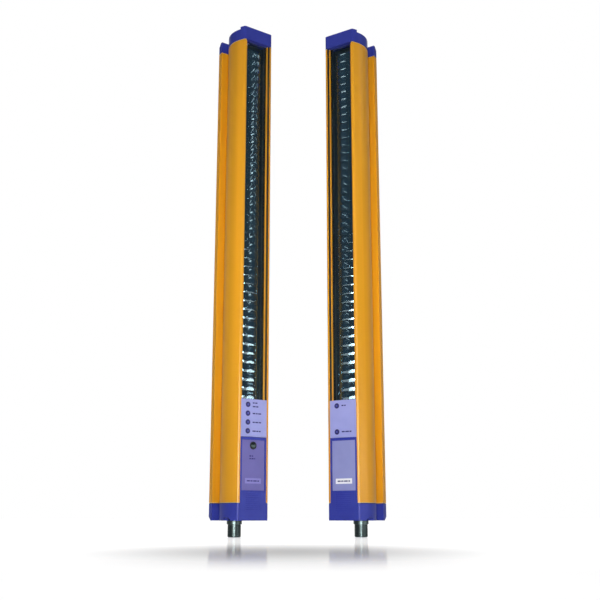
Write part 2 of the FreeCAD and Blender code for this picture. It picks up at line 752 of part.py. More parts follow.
def post_points():
    """Posts of the control board, in X and Z."""
    x = s.control_board_width / 2 - s.post_inset
    low = cap_low + s.control_board_low + s.post_end
    high = cap_low + s.tongue_top - s.post_end
    return [(side * x, z) for z in (low, high) for side in (-1, 1)]


def make_control_board(bar):
    """The control board behind the tongue, with its chips, posts and screws."""
    front = s.control_board_y
    back = front + s.board_thickness
    low = cap_low + s.control_board_low
    high = cap_low + s.control_board_high
    half = s.control_board_width / 2
    board = new_body(f"{bar}_control_board", bar)
    extrude(board, [rectangle(-half, low, half, high)], front, back, plane="XZ_Plane")
    extrude(board, [(x, z, s.post_screw_radius + s.screw_clearance) for x, z in post_points()],
            front, back, plane="XZ_Plane", cut=True)
    chips = new_body(f"{bar}_control_chips", bar)
    chip_half = s.chip_width / 2
    chip_low = low + s.chip_low
    first = extrude(chips, [rectangle(-chip_half, chip_low, chip_half, chip_low + s.chip_width)],
                    back, back + s.chip_height, plane="XZ_Plane")
    repeat_up(chips, first, s.chip_pitch, s.chip_count)
    screws = new_body(f"{bar}_board_screws", bar)
    extrude(screws, [(x, z, s.post_screw_radius) for x, z in post_points()],
            ledge_depth, back, plane="XZ_Plane")
    extrude(screws, [(x, z, s.post_radius) for x, z in post_points()],
            back, back + s.chip_height, plane="XZ_Plane")
    posts = new_body(f"{bar}_board_posts", bar)
    rings = []
    for x, z in post_points():
        rings += [(x, z, s.post_radius), (x, z, s.post_screw_radius + s.screw_clearance)]
    extrude(posts, rings, ledge_depth - s.front_gap, front, plane="XZ_Plane")
    return [board, chips, screws, posts]


def make_connector(bar):
    """The round plug-in connector with its insert, contacts, sealing ring and lock nut."""
    floor_low = cap_low + s.pocket_depth
    floor_high = floor_low + s.cap_floor
    barrel_inner = s.barrel_radius - s.barrel_wall
    flange_low = floor_low - s.ring_thickness - s.flange_height
    flange_high = floor_low - s.ring_thickness
    rear_high = floor_high + s.rear_barrel_length
    centre = {"y": connector_y}
    mouth = as_size(0.0)
    rear_inner = s.rear_barrel_radius - s.barrel_wall
    shell = new_body(f"{bar}_connector_shell", bar)
    profile = [
        (barrel_inner, mouth),
        (s.barrel_radius - s.barrel_chamfer, mouth),
        (s.barrel_radius, s.barrel_chamfer),
        (s.barrel_radius, cap_low + s.collar_low),
        (s.collar_radius, cap_low + s.collar_low),
        (s.collar_radius, flange_high),
        (s.rear_barrel_radius, flange_high),
        (s.rear_barrel_radius, rear_high),
        (rear_inner, rear_high),
        (rear_inner, s.insert_step),
        (barrel_inner, s.insert_step),
    ]
    revolve(shell, profile, centre)
    hexagon = regular_polygon(as_size(0.0), connector_y, s.flange_radius, 6)
    extrude(shell, [hexagon, (as_size(0.0), connector_y, s.rear_barrel_radius)], flange_low, flange_high)
    insert = new_body(f"{bar}_connector_insert", bar)
    disc = (as_size(0.0), connector_y, rear_inner)
    extrude(insert, [disc], s.insert_step, rear_high)
    count = CONTACTS[bar]
    contacts = []
    for index in range(count):
        angle = 2 * math.pi * (index + 0.5) / count
        contacts.append((s.pin_circle * math.cos(angle), connector_y + s.pin_circle * math.sin(angle)))
    extrude(insert, [(x, y, s.pin_radius) for x, y in contacts], s.insert_step, rear_high, cut=True)
    pins = new_body(f"{bar}_connector_pins", bar)
    extrude(pins, [(x, y, s.pin_radius) for x, y in contacts],
            s.insert_step - s.pin_length, rear_high + s.lead_length)
    ring = new_body(f"{bar}_connector_ring", bar)
    extrude(ring, [(as_size(0.0), connector_y, s.collar_radius),
                   (as_size(0.0), connector_y, s.rear_barrel_radius + s.screw_clearance)],
            flange_high, floor_low)
    nut = new_body(f"{bar}_connector_nut", bar)
    extrude(nut, [regular_polygon(as_size(0.0), connector_y, s.nut_radius, 6),
                  (as_size(0.0), connector_y, s.rear_barrel_radius)],
            floor_high, floor_high + s.nut_thickness)
    return [shell, insert, pins, ring, nut]


def make_bar(bar):
    """Every piece of one bar."""
    skirt_top = cap_low + s.bottom_cap_height
    top_skirt_low = cap_high - s.top_cap_height
    deck = cap_high - s.crown_height
    pieces = [
        make_profile_piece(f"{bar}_housing", bar, housing_low, housing_high),
        make_profile_piece(f"{bar}_bottom_gasket", bar, skirt_top, housing_low, s.gasket_inset),
        make_profile_piece(f"{bar}_top_gasket", bar, housing_high, top_skirt_low, s.gasket_inset),
        make_bottom_cap(bar),
        make_top_cap(bar),
        make_cap_screws(f"{bar}_bottom_screws", bar, cap_low + s.pocket_depth, 1),
        make_cap_screws(f"{bar}_top_screws", bar, deck - s.head_sink, -1),
        make_optic_carrier(bar),
        make_label(bar),
    ]
    pieces += make_window(bar)
    pieces += [make_lens_strip(f"{bar}_lens_strip_{name}", bar, index)
               for index, name in enumerate(BEAM_PLANES)]
    pieces += make_beam_board(bar)
    pieces += make_indicator_panel(bar)
    pieces += make_control_board(bar)
    pieces += make_connector(bar)
    if bar == RECEIVER:
        pieces += make_sealing_screw()
    return pieces


def check_and_export(pieces):
    """Stop on a failed feature or a bad solid, and write one file for each piece."""
    failed = [item.Name for item in doc.Objects if {"Invalid", "Error"} & set(item.State)]
    if failed:
        raise RuntimeError(f"failed features: {failed}")
    os.makedirs("parts", exist_ok=True)
    for piece in pieces:
        if piece.Shape.isNull() or not piece.Shape.isValid() or not piece.Shape.Solids:
            raise RuntimeError(f"{piece.Label} has no valid solid")
    for piece in pieces:
        piece.Shape.exportStep(f"parts/{piece.Label}.step")
        print(piece.Label, len(piece.Shape.Solids), round(piece.Shape.Volume, 1))


all_pieces = make_bar(RECEIVER) + make_bar(EMITTER)
doc.recompute()
check_and_export(all_pieces)
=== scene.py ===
"""Looks of a safety light curtain: a receiver bar and an emitter bar on a pale floor.

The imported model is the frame. This script dresses it: it gives every node a finish, makes the
fine lenses, indicators, threads and small fittings, and sets the camera and the light.
Lengths are metres. The frame's Z is up and the floor is at zero. Each bar also has axes of its
own: X runs across its front, Y runs back from the front and Z runs up.
"""
import json
import logging
import math
from dataclasses import dataclass
from enum import Enum
from functools import partial
from typing import Callable, Iterable, Sequence

import bmesh
import bpy
from mathutils import Matrix, Vector


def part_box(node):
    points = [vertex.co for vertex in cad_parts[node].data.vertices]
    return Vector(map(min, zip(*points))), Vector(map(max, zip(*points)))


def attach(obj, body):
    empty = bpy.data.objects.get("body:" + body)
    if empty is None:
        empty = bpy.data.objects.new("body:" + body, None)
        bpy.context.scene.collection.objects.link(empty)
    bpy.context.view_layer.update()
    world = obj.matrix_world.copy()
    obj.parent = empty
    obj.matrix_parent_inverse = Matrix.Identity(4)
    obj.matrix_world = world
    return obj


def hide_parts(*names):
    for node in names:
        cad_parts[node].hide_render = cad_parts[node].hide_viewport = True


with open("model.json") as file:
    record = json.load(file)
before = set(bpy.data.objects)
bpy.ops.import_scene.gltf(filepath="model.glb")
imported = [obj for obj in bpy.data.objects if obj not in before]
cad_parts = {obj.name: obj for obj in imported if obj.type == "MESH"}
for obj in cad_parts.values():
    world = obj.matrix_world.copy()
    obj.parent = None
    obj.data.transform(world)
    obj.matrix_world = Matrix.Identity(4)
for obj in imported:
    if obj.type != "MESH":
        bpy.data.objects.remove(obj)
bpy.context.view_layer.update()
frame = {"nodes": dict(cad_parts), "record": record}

log = logging.getLogger("light_curtain")
logging.basicConfig(level=logging.INFO, format="%(message)s")

MM = 0.001
# A turned surface ends this far from its axis, since no face can be turned from a single point.
PINHOLE = 0.01 * MM

Colour = tuple[float, float, float]
Point = tuple[float, float, float]
ColourSource = Colour | bpy.types.NodeSocket
Feeds = dict[str | int, bpy.types.NodeSocket]

WHITE: Colour = (1.0, 1.0, 1.0)


class Bar(Enum):
    """The two bars of the pair."""

    RECEIVER = "receiver"
    EMITTER = "emitter"


@dataclass(frozen=True)
class Standing:
    """Where a bar stands: the middle of its front on the floor, and its turn about Z."""

    across: float
    back: float
    turn_deg: float

    def to_row(self) -> Matrix:
        """Matrix from the bar's own axes to the frame's axes."""
        turn = Matrix.Rotation(math.radians(self.turn_deg), 4, "Z")
        return Matrix.Translation((self.across, self.back, 0.0)) @ turn


STANDINGS = {
    Bar.RECEIVER: Standing(-45.66 * MM, -25.01 * MM, 35.7),
    Bar.EMITTER: Standing(47.12 * MM, -19.58 * MM, -32.8),
}


# Shaders


class Shader:
    """A material's node tree with short ways to add and join nodes."""

    def __init__(self, name: str) -> None:
        """Make an empty material.

        Args:
            name: The material's name.
        """
        self.material = bpy.data.materials.new(name)
        self.material.use_nodes = True
        self.tree = self.material.node_tree
        self.tree.nodes.clear()
        self.output = self.add("ShaderNodeOutputMaterial")

    def add(self, kind: str, feeds: Feeds | None = None, **values: object) -> bpy.types.Node:
        """Add a node, set its sockets or properties and link its inputs.

        Args:
            kind: The node's type name.
            feeds: Sockets to link, by the name or number of the input that each goes to.
            values: Socket names, with spaces as underscores, or property names in lower case.

        Returns:
            The new node.
        """
        return add_node(self.tree, kind, feeds, **values)

    def group(self, tree: bpy.types.NodeTree, **values: object) -> bpy.types.Node:
        """Place a shared effect and set its inputs.

        Args:
            tree: The group's own tree.
            values: Input names and their values.

        Returns:
            The group node.
        """
        node = self.tree.nodes.new("ShaderNodeGroup")
        node.node_tree = tree
        for name, value in values.items():
            node.inputs[name.replace("_", " ")].default_value = value
        return node

    def join(self, source: bpy.types.NodeSocket, target: bpy.types.NodeSocket) -> None:
        """Link two sockets."""
        self.tree.links.new(source, target)

    def surface(self, node: bpy.types.Node) -> bpy.types.Material:
        """Finish the material with this shader.

        Args:
            node: The shader node that reaches the output.

        Returns:
            The finished material.
        """
        self.join(node.outputs[0], self.output.inputs["Surface"])
        return self.material


def rgba(colour: Colour) -> tuple[float, float, float, float]:
    """A colour with full alpha."""
    return (*colour, 1.0)


def add_node(tree: bpy.types.NodeTree, kind: str, feeds: Feeds | None = None,
             **values: object) -> bpy.types.Node:
    """Add a node to a tree.

    Args:
        tree: The node tree.
        kind: The node's type name.
        feeds: Sockets to link, by the name or number of the input that each goes to.
        values: Socket names, with spaces as underscores, or property names in lower case.

    Returns:
        The new node.
    """
    node = tree.nodes.new(kind)
    for name, value in values.items():
        socket = name.replace("_", " ")
        if socket in node.inputs:
            node.inputs[socket].default_value = value
        else:
            setattr(node, name, value)
    for place, source in (feeds or {}).items():
        tree.links.new(source, node.inputs[place])
    return node


def work(tree: bpy.types.NodeTree, operation: str,
         *values: bpy.types.NodeSocket) -> bpy.types.NodeSocket:
    """Work out a number from other sockets.

    Args:
        tree: The node tree.
        operation: What the Math node does.
        values: The sockets that it works on, one to three.

    Returns:
        The result's socket.
    """
    return add_node(tree, "ShaderNodeMath", dict(enumerate(values)), operation=operation).outputs[0]


def colour_mix(tree: bpy.types.NodeTree, share: bpy.types.NodeSocket, first: ColourSource,
               second: ColourSource) -> bpy.types.NodeSocket:
    """Mix two colours.

    The Mix node has its colours at inputs 6 and 7 and the mixed colour at output 2.

    Args:
        tree: The node tree.
        share: Share of the second colour.
        first: A colour or a socket.
        second: A colour or a socket.

    Returns:
        The mixed colour's socket.
    """
    mix = add_node(tree, "ShaderNodeMix", {0: share}, data_type="RGBA")
    for value, socket in ((first, mix.inputs[6]), (second, mix.inputs[7])):
        if isinstance(value, tuple):
            socket.default_value = rgba(value)
        else:
            tree.links.new(value, socket)
    return mix.outputs[2]


def new_group(name: str, inputs: dict[str, float],
              outputs: dict[str, str]) -> tuple[bpy.types.NodeTree, bpy.types.Node, bpy.types.Node]:
    """Start a shader node group.

    Args:
        name: The group's name.
        inputs: Names of the float inputs and their usual values.
        outputs: Names of the outputs and their socket types.

    Returns:
        The tree, its input node and its output node.
    """
    tree = bpy.data.node_groups.new(name, "ShaderNodeTree")
    for title, value in inputs.items():
        socket = tree.interface.new_socket(title, in_out="INPUT", socket_type="NodeSocketFloat")
        socket.default_value = value
    for title, kind in outputs.items():
        tree.interface.new_socket(title, in_out="OUTPUT", socket_type=kind)
    return tree, tree.nodes.new("NodeGroupInput"), tree.nodes.new("NodeGroupOutput")


def make_grain_group() -> bpy.types.NodeTree:
    """Fine surface grain: a height for bumps and a mask for small changes of tone.

    Returns:
        The group's tree.
    """
    tree, given, result = new_group(
        "surface_grain",
        {"Scale": 900.0, "Detail": 2.0, "Patch Scale": 25.0},
        {"Height": "NodeSocketFloat", "Mask": "NodeSocketFloat"})
    place = add_node(tree, "ShaderNodeTexCoord").outputs["Object"]
    fine = add_node(tree, "ShaderNodeTexNoise", {"Vector": place, "Scale": given.outputs["Scale"],
                                                 "Detail": given.outputs["Detail"]}, Roughness=0.5)
    slow = add_node(tree, "ShaderNodeTexNoise", {"Vector": place, "Scale": given.outputs["Patch Scale"]},
                    Detail=3.0, Roughness=0.55)
    tree.links.new(fine.outputs["Fac"], result.inputs["Height"])
    tree.links.new(slow.outputs["Fac"], result.inputs["Mask"])
    return tree


def make_length_group() -> bpy.types.NodeTree:
    """Long faint streaks of lighter and darker tone that run up a bar.

    Returns:
        The group's tree.
    """
    tree, given, result = new_group(
        "long_streaks",
        {"Scale": 60.0, "Stretch": 0.02},
        {"Mask": "NodeSocketFloat"})
    place = add_node(tree, "ShaderNodeTexCoord")
    squeeze = add_node(tree, "ShaderNodeCombineXYZ", {"Z": given.outputs["Stretch"]}, X=1.0, Y=1.0)
    scaled = add_node(tree, "ShaderNodeVectorMath",
                      {0: place.outputs["Object"], 1: squeeze.outputs["Vector"]}, operation="MULTIPLY")
    noise = add_node(tree, "ShaderNodeTexNoise",
                     {"Vector": scaled.outputs["Vector"], "Scale": given.outputs["Scale"]},
                     Detail=2.0, Roughness=0.4)
    tree.links.new(noise.outputs["Fac"], result.inputs["Mask"])
    return tree


def make_height_band_group() -> bpy.types.NodeTree:
    """A mask that is one near a lower and an upper height, as at the cut ends of a bar.

    Returns:
        The group's tree.
    """
    tree, given, result = new_group(
        "cut_ends",
        {"Low": 0.0, "High": 1.0, "Width": 0.0004},
        {"Mask": "NodeSocketFloat"})
    place = add_node(tree, "ShaderNodeTexCoord")
    split = add_node(tree, "ShaderNodeSeparateXYZ", {0: place.outputs["Object"]})
    masks = [work(tree, "COMPARE", split.outputs["Z"], given.outputs[end], given.outputs["Width"])
             for end in ("Low", "High")]
    tree.links.new(work(tree, "MAXIMUM", *masks), result.inputs["Mask"])
    return tree


def make_edge_group() -> bpy.types.NodeTree:
    """Small rounded edges: a normal that turns softly where two faces meet.

    Returns:
        The group's tree.
    """
    tree, given, result = new_group(
        "rounded_edges", {"Radius": 0.0003}, {"Normal": "NodeSocketVector"})
    bevel = add_node(tree, "ShaderNodeBevel", {"Radius": given.outputs["Radius"]}, samples=6)
    tree.links.new(bevel.outputs["Normal"], result.inputs["Normal"])
    return tree


def make_painted_shade_group() -> bpy.types.NodeTree:
    """A mask for painted shade: the two front grooves and the inner channel, painted dark where shade
    falls.

    The place is first turned into the bar's own axes. Half widths are taken from the bar's middle.

    Returns:
        The group's tree.
    """
    tree, given, result = new_group(
        "painted_shade_grooves_and_channel",
        {"Across": 0.0, "Back": 0.0, "Cosine": 1.0, "Sine": 0.0, "Groove Inner": 14.6 * MM,
         "Groove Outer": 15.9 * MM, "Groove Top": 0.4 * MM, "Channel Half": 15.5 * MM,
         "Channel Front": 4.2 * MM, "Channel Back": 31.0 * MM},
        {"Mask": "NodeSocketFloat"})
    place = add_node(tree, "ShaderNodeTexCoord")
    split = add_node(tree, "ShaderNodeSeparateXYZ", {0: place.outputs["Object"]})

    def between(value: bpy.types.NodeSocket, low: str, high: str) -> bpy.types.NodeSocket:
        """One where a value lies between two of the group's inputs.

        Args:
            value: The value's socket.
            low: Name of the lower input.
            high: Name of the higher input.

        Returns:
            The mask's socket.
        """
        return work(tree, "MULTIPLY", work(tree, "GREATER_THAN", value, given.outputs[low]),
                    work(tree, "LESS_THAN", value, given.outputs[high]))

    x = work(tree, "SUBTRACT", split.outputs["X"], given.outputs["Across"])
    y = work(tree, "SUBTRACT", split.outputs["Y"], given.outputs["Back"])
    cosine, sine = given.outputs["Cosine"], given.outputs["Sine"]
    right = work(tree, "ADD", work(tree, "MULTIPLY", x, cosine), work(tree, "MULTIPLY", y, sine))
    back = work(tree, "SUBTRACT", work(tree, "MULTIPLY", y, cosine), work(tree, "MULTIPLY", x, sine))
    half = work(tree, "ABSOLUTE", right)
    groove = work(tree, "MULTIPLY", between(half, "Groove Inner", "Groove Outer"),
                  between(back, "Groove Top", "Channel Back"))
    channel = work(tree, "MULTIPLY", work(tree, "LESS_THAN", half, given.outputs["Channel Half"]),
                   between(back, "Channel Front", "Channel Back"))
    tree.links.new(work(tree, "MAXIMUM", groove, channel), result.inputs["Mask"])
    return tree


GRAIN = make_grain_group()
STREAKS = make_length_group()
CUT_ENDS = make_height_band_group()
EDGES = make_edge_group()
PAINTED_SHADE = make_painted_shade_group()

# Mask values between which the lower tone turns into the higher one.
TONE_BAND = (0.35, 0.65)
# Share of its middle by which a varied value strays either way.
STRAY = 0.25
RELIEF_STRENGTH = 0.3


def tone_mix(shader: Shader, mask: bpy.types.NodeSocket, low: Colour,
             high: Colour) -> bpy.types.NodeSocket:
    """Mix two tones by a mask that lies round one half.

    Args:
        shader: The material.
        mask: The mask's socket.
        low: Colour where the mask is low.
        high: Colour where the mask is high.

    Returns:
        The colour socket.
    """
    ramp = shader.add("ShaderNodeValToRGB", {"Fac": mask})
    for element, position, colour in zip(ramp.color_ramp.elements, TONE_BAND, (low, high)):
        element.position = position
        element.color = rgba(colour)
    return ramp.outputs["Color"]


def vary(shader: Shader, mask: bpy.types.NodeSocket, middle: float) -> bpy.types.NodeSocket:
    """A value that strays a little from its middle.

    Args:
        shader: The material.
        mask: The mask that moves it.
        middle: The middle value.

    Returns:
        The value's socket.
    """
    spread = shader.add("ShaderNodeMapRange", {"Value": mask}, To_Min=middle * (1.0 - STRAY),
                        To_Max=middle * (1.0 + STRAY))
    return spread.outputs["Result"]


def grained_surface(shader: Shader, surface: bpy.types.Node, colour: bpy.types.NodeSocket,
                    grain: bpy.types.Node, roughness: float, depth: float,
                    edge_radius: float) -> bpy.types.Material:
    """Finish a material with its colour, a varied roughness and a relief on softly rounded edges.

    Args:
        shader: The material.
        surface: The shader node that they go to.
        colour: The colour's socket.
        grain: The grain that varies the roughness and gives the relief its height.
        roughness: The middle roughness.
        depth: Depth of the relief.
        edge_radius: Radius of the rounded edges.

    Returns:
        The finished material.
    """
    shader.join(colour, surface.inputs["Base Color"])
    shader.join(vary(shader, grain.outputs["Mask"], roughness), surface.inputs["Roughness"])
    edges = shader.group(EDGES, Radius=edge_radius)
    bump = shader.add(
        "ShaderNodeBump", {"Height": grain.outputs["Height"], "Normal": edges.outputs["Normal"]},
        Strength=RELIEF_STRENGTH, Distance=depth)
    shader.join(bump.outputs["Normal"], surface.inputs["Normal"])
    return shader.surface(surface)


@dataclass(frozen=True)
class PowderPaint:
    """Yellow powder coat on an extrusion, with fine orange peel, bare cut ends with a painted edge
    highlight, and painted shade in the grooves and the inner channel.
    """

    bar: Bar
    tone: Colour = (0.82, 0.365, 0.014)
    deep_tone: Colour = (0.72, 0.325, 0.012)
    # Bare metal on the cut end faces; the same tone in a thin band round the sides at each end is a painted
    # edge highlight.
    bare_end_and_edge_highlight: Colour = (0.86, 0.66, 0.42)
    # Painted shade tone of the grooves and the inner channel.
    painted_shade_tone: Colour = (0.030, 0.030, 0.030)
    groove_inner: float = 14.55 * MM
    groove_outer: float = 15.95 * MM
    low_end: float = 0.0
    high_end: float = 1.0
    end_width: float = 0.35 * MM
    streak_scale: float = 95.0
    streak_stretch: float = 0.012
    peel_scale: float = 1100.0
    peel_depth: float = 0.03 * MM
    patch_scale: float = 18.0
    roughness: float = 0.36
    specular: float = 0.3
    edge_radius: float = 0.35 * MM

    def make(self) -> bpy.types.Material:
        """Build the material.

        Returns:
            The paint.
        """
        shader = Shader(f"{self.bar.value}_yellow_powder_coat")
        standing = STANDINGS[self.bar]
        turn = math.radians(standing.turn_deg)
        painted_shade = shader.group(
            PAINTED_SHADE, Across=standing.across, Back=standing.back, Cosine=math.cos(turn),
            Sine=math.sin(turn), Groove_Inner=self.groove_inner, Groove_Outer=self.groove_outer)
        grain = shader.group(GRAIN, Scale=self.peel_scale, Patch_Scale=self.patch_scale)
        streaks = shader.group(STREAKS, Scale=self.streak_scale, Stretch=self.streak_stretch)
        ends = shader.group(CUT_ENDS, Low=self.low_end, High=self.high_end, Width=self.end_width)
        paint = shader.add("ShaderNodeBsdfPrincipled", Specular_IOR_Level=self.specular)
        painted = tone_mix(shader, streaks.outputs["Mask"], self.deep_tone, self.tone)
        cut = colour_mix(shader.tree, ends.outputs["Mask"], painted, self.bare_end_and_edge_highlight)
        # Painted shade: the grooves and the inner channel turn dark.
        whole = colour_mix(shader.tree, painted_shade.outputs["Mask"], cut, self.painted_shade_tone)
        return grained_surface(shader, paint, whole, grain, self.roughness, self.peel_depth,
                               self.edge_radius)


@dataclass(frozen=True)
class MouldedPlastic:
    """A moulded plastic: two close tones, a fine moulded grain and a soft gloss."""

    name: str
    tone: Colour
    second_tone: Colour
    roughness: float = 0.35
    grain_scale: float = 1500.0
    grain_depth: float = 0.02 * MM
    patch_scale: float = 60.0
    edge_radius: float = 0.25 * MM
    specular: float = 0.4

    def make(self) -> bpy.types.Material:
        """Build the material.

        Returns:
            The plastic.
        """
        shader = Shader(self.name)
        grain = shader.group(GRAIN, Scale=self.grain_scale, Patch_Scale=self.patch_scale)
        plastic = shader.add("ShaderNodeBsdfPrincipled", Specular_IOR_Level=self.specular)
        colour = tone_mix(shader, grain.outputs["Mask"], self.second_tone, self.tone)
        return grained_surface(shader, plastic, colour, grain, self.roughness, self.grain_depth,
                               self.edge_radius)


@dataclass(frozen=True)
class ClearGlass:
    """A clear or tinted transparent material."""

    name: str
    tint: Colour
    refraction: float = 1.49
    roughness: float = 0.02
    coat: float = 0.0
    coat_roughness: float = 0.03
    coat_refraction: float = 1.5
    patch_scale: float = 12.0

    def make(self) -> bpy.types.Material:
        """Build the material.

        Returns:
            The glass.
        """
        shader = Shader(self.name)
        grain = shader.group(GRAIN, Patch_Scale=self.patch_scale)
        glass = shader.add(
            "ShaderNodeBsdfPrincipled", Transmission_Weight=1.0, IOR=self.refraction,
            Coat_Weight=self.coat, Coat_Roughness=self.coat_roughness, Coat_IOR=self.coat_refraction,
            Base_Color=rgba(self.tint))
        shader.join(vary(shader, grain.outputs["Mask"], self.roughness), glass.inputs["Roughness"])
        return shader.surface(glass)


@dataclass(frozen=True)
class Metal:
    """A turned or plated metal with fine marks."""

    name: str
    tone: Colour
    second_tone: Colour
    roughness: float = 0.25
    mark_scale: float = 2500.0
    mark_depth: float = 0.01 * MM
    patch_scale: float = 150.0
    edge_radius: float = 0.15 * MM

    def make(self) -> bpy.types.Material:
        """Build the material.

        Returns:
            The metal.
        """
        shader = Shader(self.name)
        grain = shader.group(GRAIN, Scale=self.mark_scale, Patch_Scale=self.patch_scale)
        metal = shader.add("ShaderNodeBsdfPrincipled", Metallic=1.0)
        colour = tone_mix(shader, grain.outputs["Mask"], self.second_tone, self.tone)
        return grained_surface(shader, metal, colour, grain, self.roughness, self.mark_depth,
                               self.edge_radius)


def painted_housing(bar: Bar) -> PowderPaint:
    """The paint, with its bare ends and their painted edge highlight at the ends of the housing."""
    low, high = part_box(f"{bar.value}_housing")
    return PowderPaint(bar, low_end=low[2], high_end=high[2])


SLOT_FINISHES = {
    "blue_plastic": MouldedPlastic(
        "blue_cap_plastic", (0.038, 0.052, 0.36), (0.032, 0.044, 0.33), 0.42, specular=0.18),
    "black_rubber": MouldedPlastic(
        "black_gasket_rubber", (0.016, 0.016, 0.017), (0.010, 0.010, 0.011), 0.7),
    "zinc_steel": Metal("zinc_plated_steel", (0.62, 0.62, 0.64), (0.52, 0.53, 0.56), 0.28),
    "dark_window": ClearGlass("dark_window_glass", (0.75, 0.87, 0.91)),
    "clear_lens": ClearGlass(
        "lens_acrylic", (0.78, 0.90, 0.98), coat=1.0, coat_refraction=3.4),
    "black_plastic": MouldedPlastic(
        "black_carrier_plastic", (0.020, 0.022, 0.024), (0.013, 0.015, 0.016), 0.55),
    "green_board": MouldedPlastic(
        "green_board_lacquer", (0.03, 0.17, 0.07), (0.02, 0.13, 0.05), 0.25, specular=0.6),
    "diode_plastic": MouldedPlastic(
        "dark_diode_plastic", (0.06, 0.05, 0.08), (0.04, 0.03, 0.06), 0.15, specular=0.6),
    "lavender_plastic": MouldedPlastic(
        "lavender_panel_plastic", (0.33, 0.35, 0.71), (0.30, 0.325, 0.67), 0.5),
    "indicator_plastic": MouldedPlastic(
        "indicator_lens_plastic", (0.020, 0.018, 0.14), (0.016, 0.014, 0.11), 0.3, specular=0.3),
    "violet_label": MouldedPlastic(
        "violet_label_film", (0.130, 0.116, 0.38), (0.118, 0.105, 0.35), 0.45),
    "lavender_label": MouldedPlastic(
        "lavender_label_film", (0.265, 0.285, 0.575), (0.245, 0.265, 0.545), 0.45),
    "dark_chrome": Metal("dark_chrome_shell", (0.060, 0.078, 0.076), (0.045, 0.060, 0.060), 0.25),
    "nickel_nut": Metal("nickel_plate", (0.62, 0.60, 0.56), (0.54, 0.52, 0.48), 0.22),
    "gold_contact": Metal("gold_contact_plate", (0.85, 0.62, 0.24), (0.78, 0.55, 0.20), 0.2),
    "brass_post": Metal("turned_brass", (0.75, 0.54, 0.24), (0.66, 0.46, 0.19), 0.25),
}
MARK_INK = MouldedPlastic(
    "dark_violet_ink", (0.035, 0.030, 0.17), (0.028, 0.025, 0.15), 0.6, specular=0.2)
WHITE_FILM = MouldedPlastic("white_strip_film", (0.86, 0.86, 0.90), (0.80, 0.80, 0.86), 0.45)
PALE_FILM = MouldedPlastic("pale_violet_strip", (0.225, 0.205, 0.55), (0.205, 0.19, 0.52), 0.45)
INDICATOR_CORE = MouldedPlastic(
    "indicator_core", (0.075, 0.080, 0.36), (0.06, 0.065, 0.30), 0.4, specular=0.25)


def material_slots() -> dict[str, str]:
    """Material slot of each node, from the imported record.

    Returns:
        Node names and their slots.
    """
    return {part["node"]: part["material_slot"] for part in frame["record"]["subparts"]}


# Meshes


def around(radius: float, count: int) -> list[tuple[float, float]]:
    """Points spaced evenly round a circle.

    Args:
        radius: The circle's radius.
        count: Number of points.

    Returns:
        The points.
    """
    angles = [2 * math.pi * index / count for index in range(count)]
    return [(radius * math.cos(a), radius * math.sin(a)) for a in angles]


class MeshMaker:
    """Collects faces in a bar's own axes and turns them into one object of the frame."""

    def __init__(self, name: str, bar: Bar) -> None:
        """Start an empty mesh.

        Args:
            name: The object's name.
            bar: The bar whose axes the points are given in.
        """
        self.name = name
        self.to_row = STANDINGS[bar].to_row()
        self.mesh = bmesh.new()

    def vertex(self, point: Sequence[float]) -> bmesh.types.BMVert:
        """Add a vertex at a point of the bar."""
        return self.mesh.verts.new(self.to_row @ Vector(point))

    def grid(self, rows: Sequence[Sequence[Point]], close: bool = False, slot: int = 0) -> None:
        """Add quads between rows of points.

        Args:
            rows: Rows of equal length.
            close: Join the last column to the first one.
            slot: Material index of the faces.
        """
        lines = [[self.vertex(point) for point in row] for row in rows]
        for low, high in zip(lines, lines[1:]):
            count = len(low)
            for index in range(count if close else count - 1):
                step = (index + 1) % count
                face = self.mesh.faces.new((low[index], low[step], high[step], high[index]))
                face.material_index = slot
                face.smooth = True

    def revolve(self, profile: Sequence[tuple[float, float]], place: Callable[[float, float, float], Point],
                segments: int = 48, slot: int = 0) -> None:
        """Add a surface of revolution.

        Args:
            profile: Radius and station of each point of the outline.
            place: Gives the point for a cosine share, a sine share and a station.
            segments: Steps round the axis.
            slot: Material index of the faces.
        """
        rows = [[place(u, v, station) for u, v in around(radius, segments)]
                for radius, station in profile]
        self.grid(rows, close=True, slot=slot)

    def block(self, low: Point, high: Point, slot: int = 0) -> None:
        """Add a closed block.

        Args:
            low: Its lowest corner in the bar's axes.
            high: Its highest corner.
            slot: Material index of the faces.
        """
        xs, ys, zs = zip(low, high)
        corners = [self.vertex((x, y, z)) for x in xs for y in ys for z in zs]
        for face in ((0, 1, 3, 2), (4, 6, 7, 5), (0, 4, 5, 1), (2, 3, 7, 6), (0, 2, 6, 4), (1, 5, 7, 3)):
            added = self.mesh.faces.new([corners[index] for index in face])
            added.material_index = slot

    def cap(self, ring: Sequence[Point], slot: int = 0) -> None:
        """Close a ring of points with one face.

        Args:
            ring: The points in order.
            slot: Material index of the face.
        """
        face = self.mesh.faces.new([self.vertex(point) for point in ring])
        face.material_index = slot

    def finish(self, materials: Iterable[bpy.types.Material], sharp_deg: float = 30.0,
               weld: float = 1e-6) -> bpy.types.Object:
        """Turn the faces into an object.

        Args:
            materials: The materials, in the order of the faces' slots.
            sharp_deg: Edges that turn more than this stay sharp.
            weld: Distance under which points become one.

        Returns:
            The object, linked to the scene.
        """
        bmesh.ops.remove_doubles(self.mesh, verts=self.mesh.verts, dist=weld)
        bmesh.ops.dissolve_degenerate(self.mesh, edges=self.mesh.edges, dist=weld)
        bmesh.ops.recalc_face_normals(self.mesh, faces=self.mesh.faces)
        data = bpy.data.meshes.new(self.name)
        self.mesh.to_mesh(data)
        self.mesh.free()
        for material in materials:
            data.materials.append(material)
        data.set_sharp_from_angle(angle=math.radians(sharp_deg))
        piece = bpy.data.objects.new(self.name, data)
        bpy.context.scene.collection.objects.link(piece)
        return piece


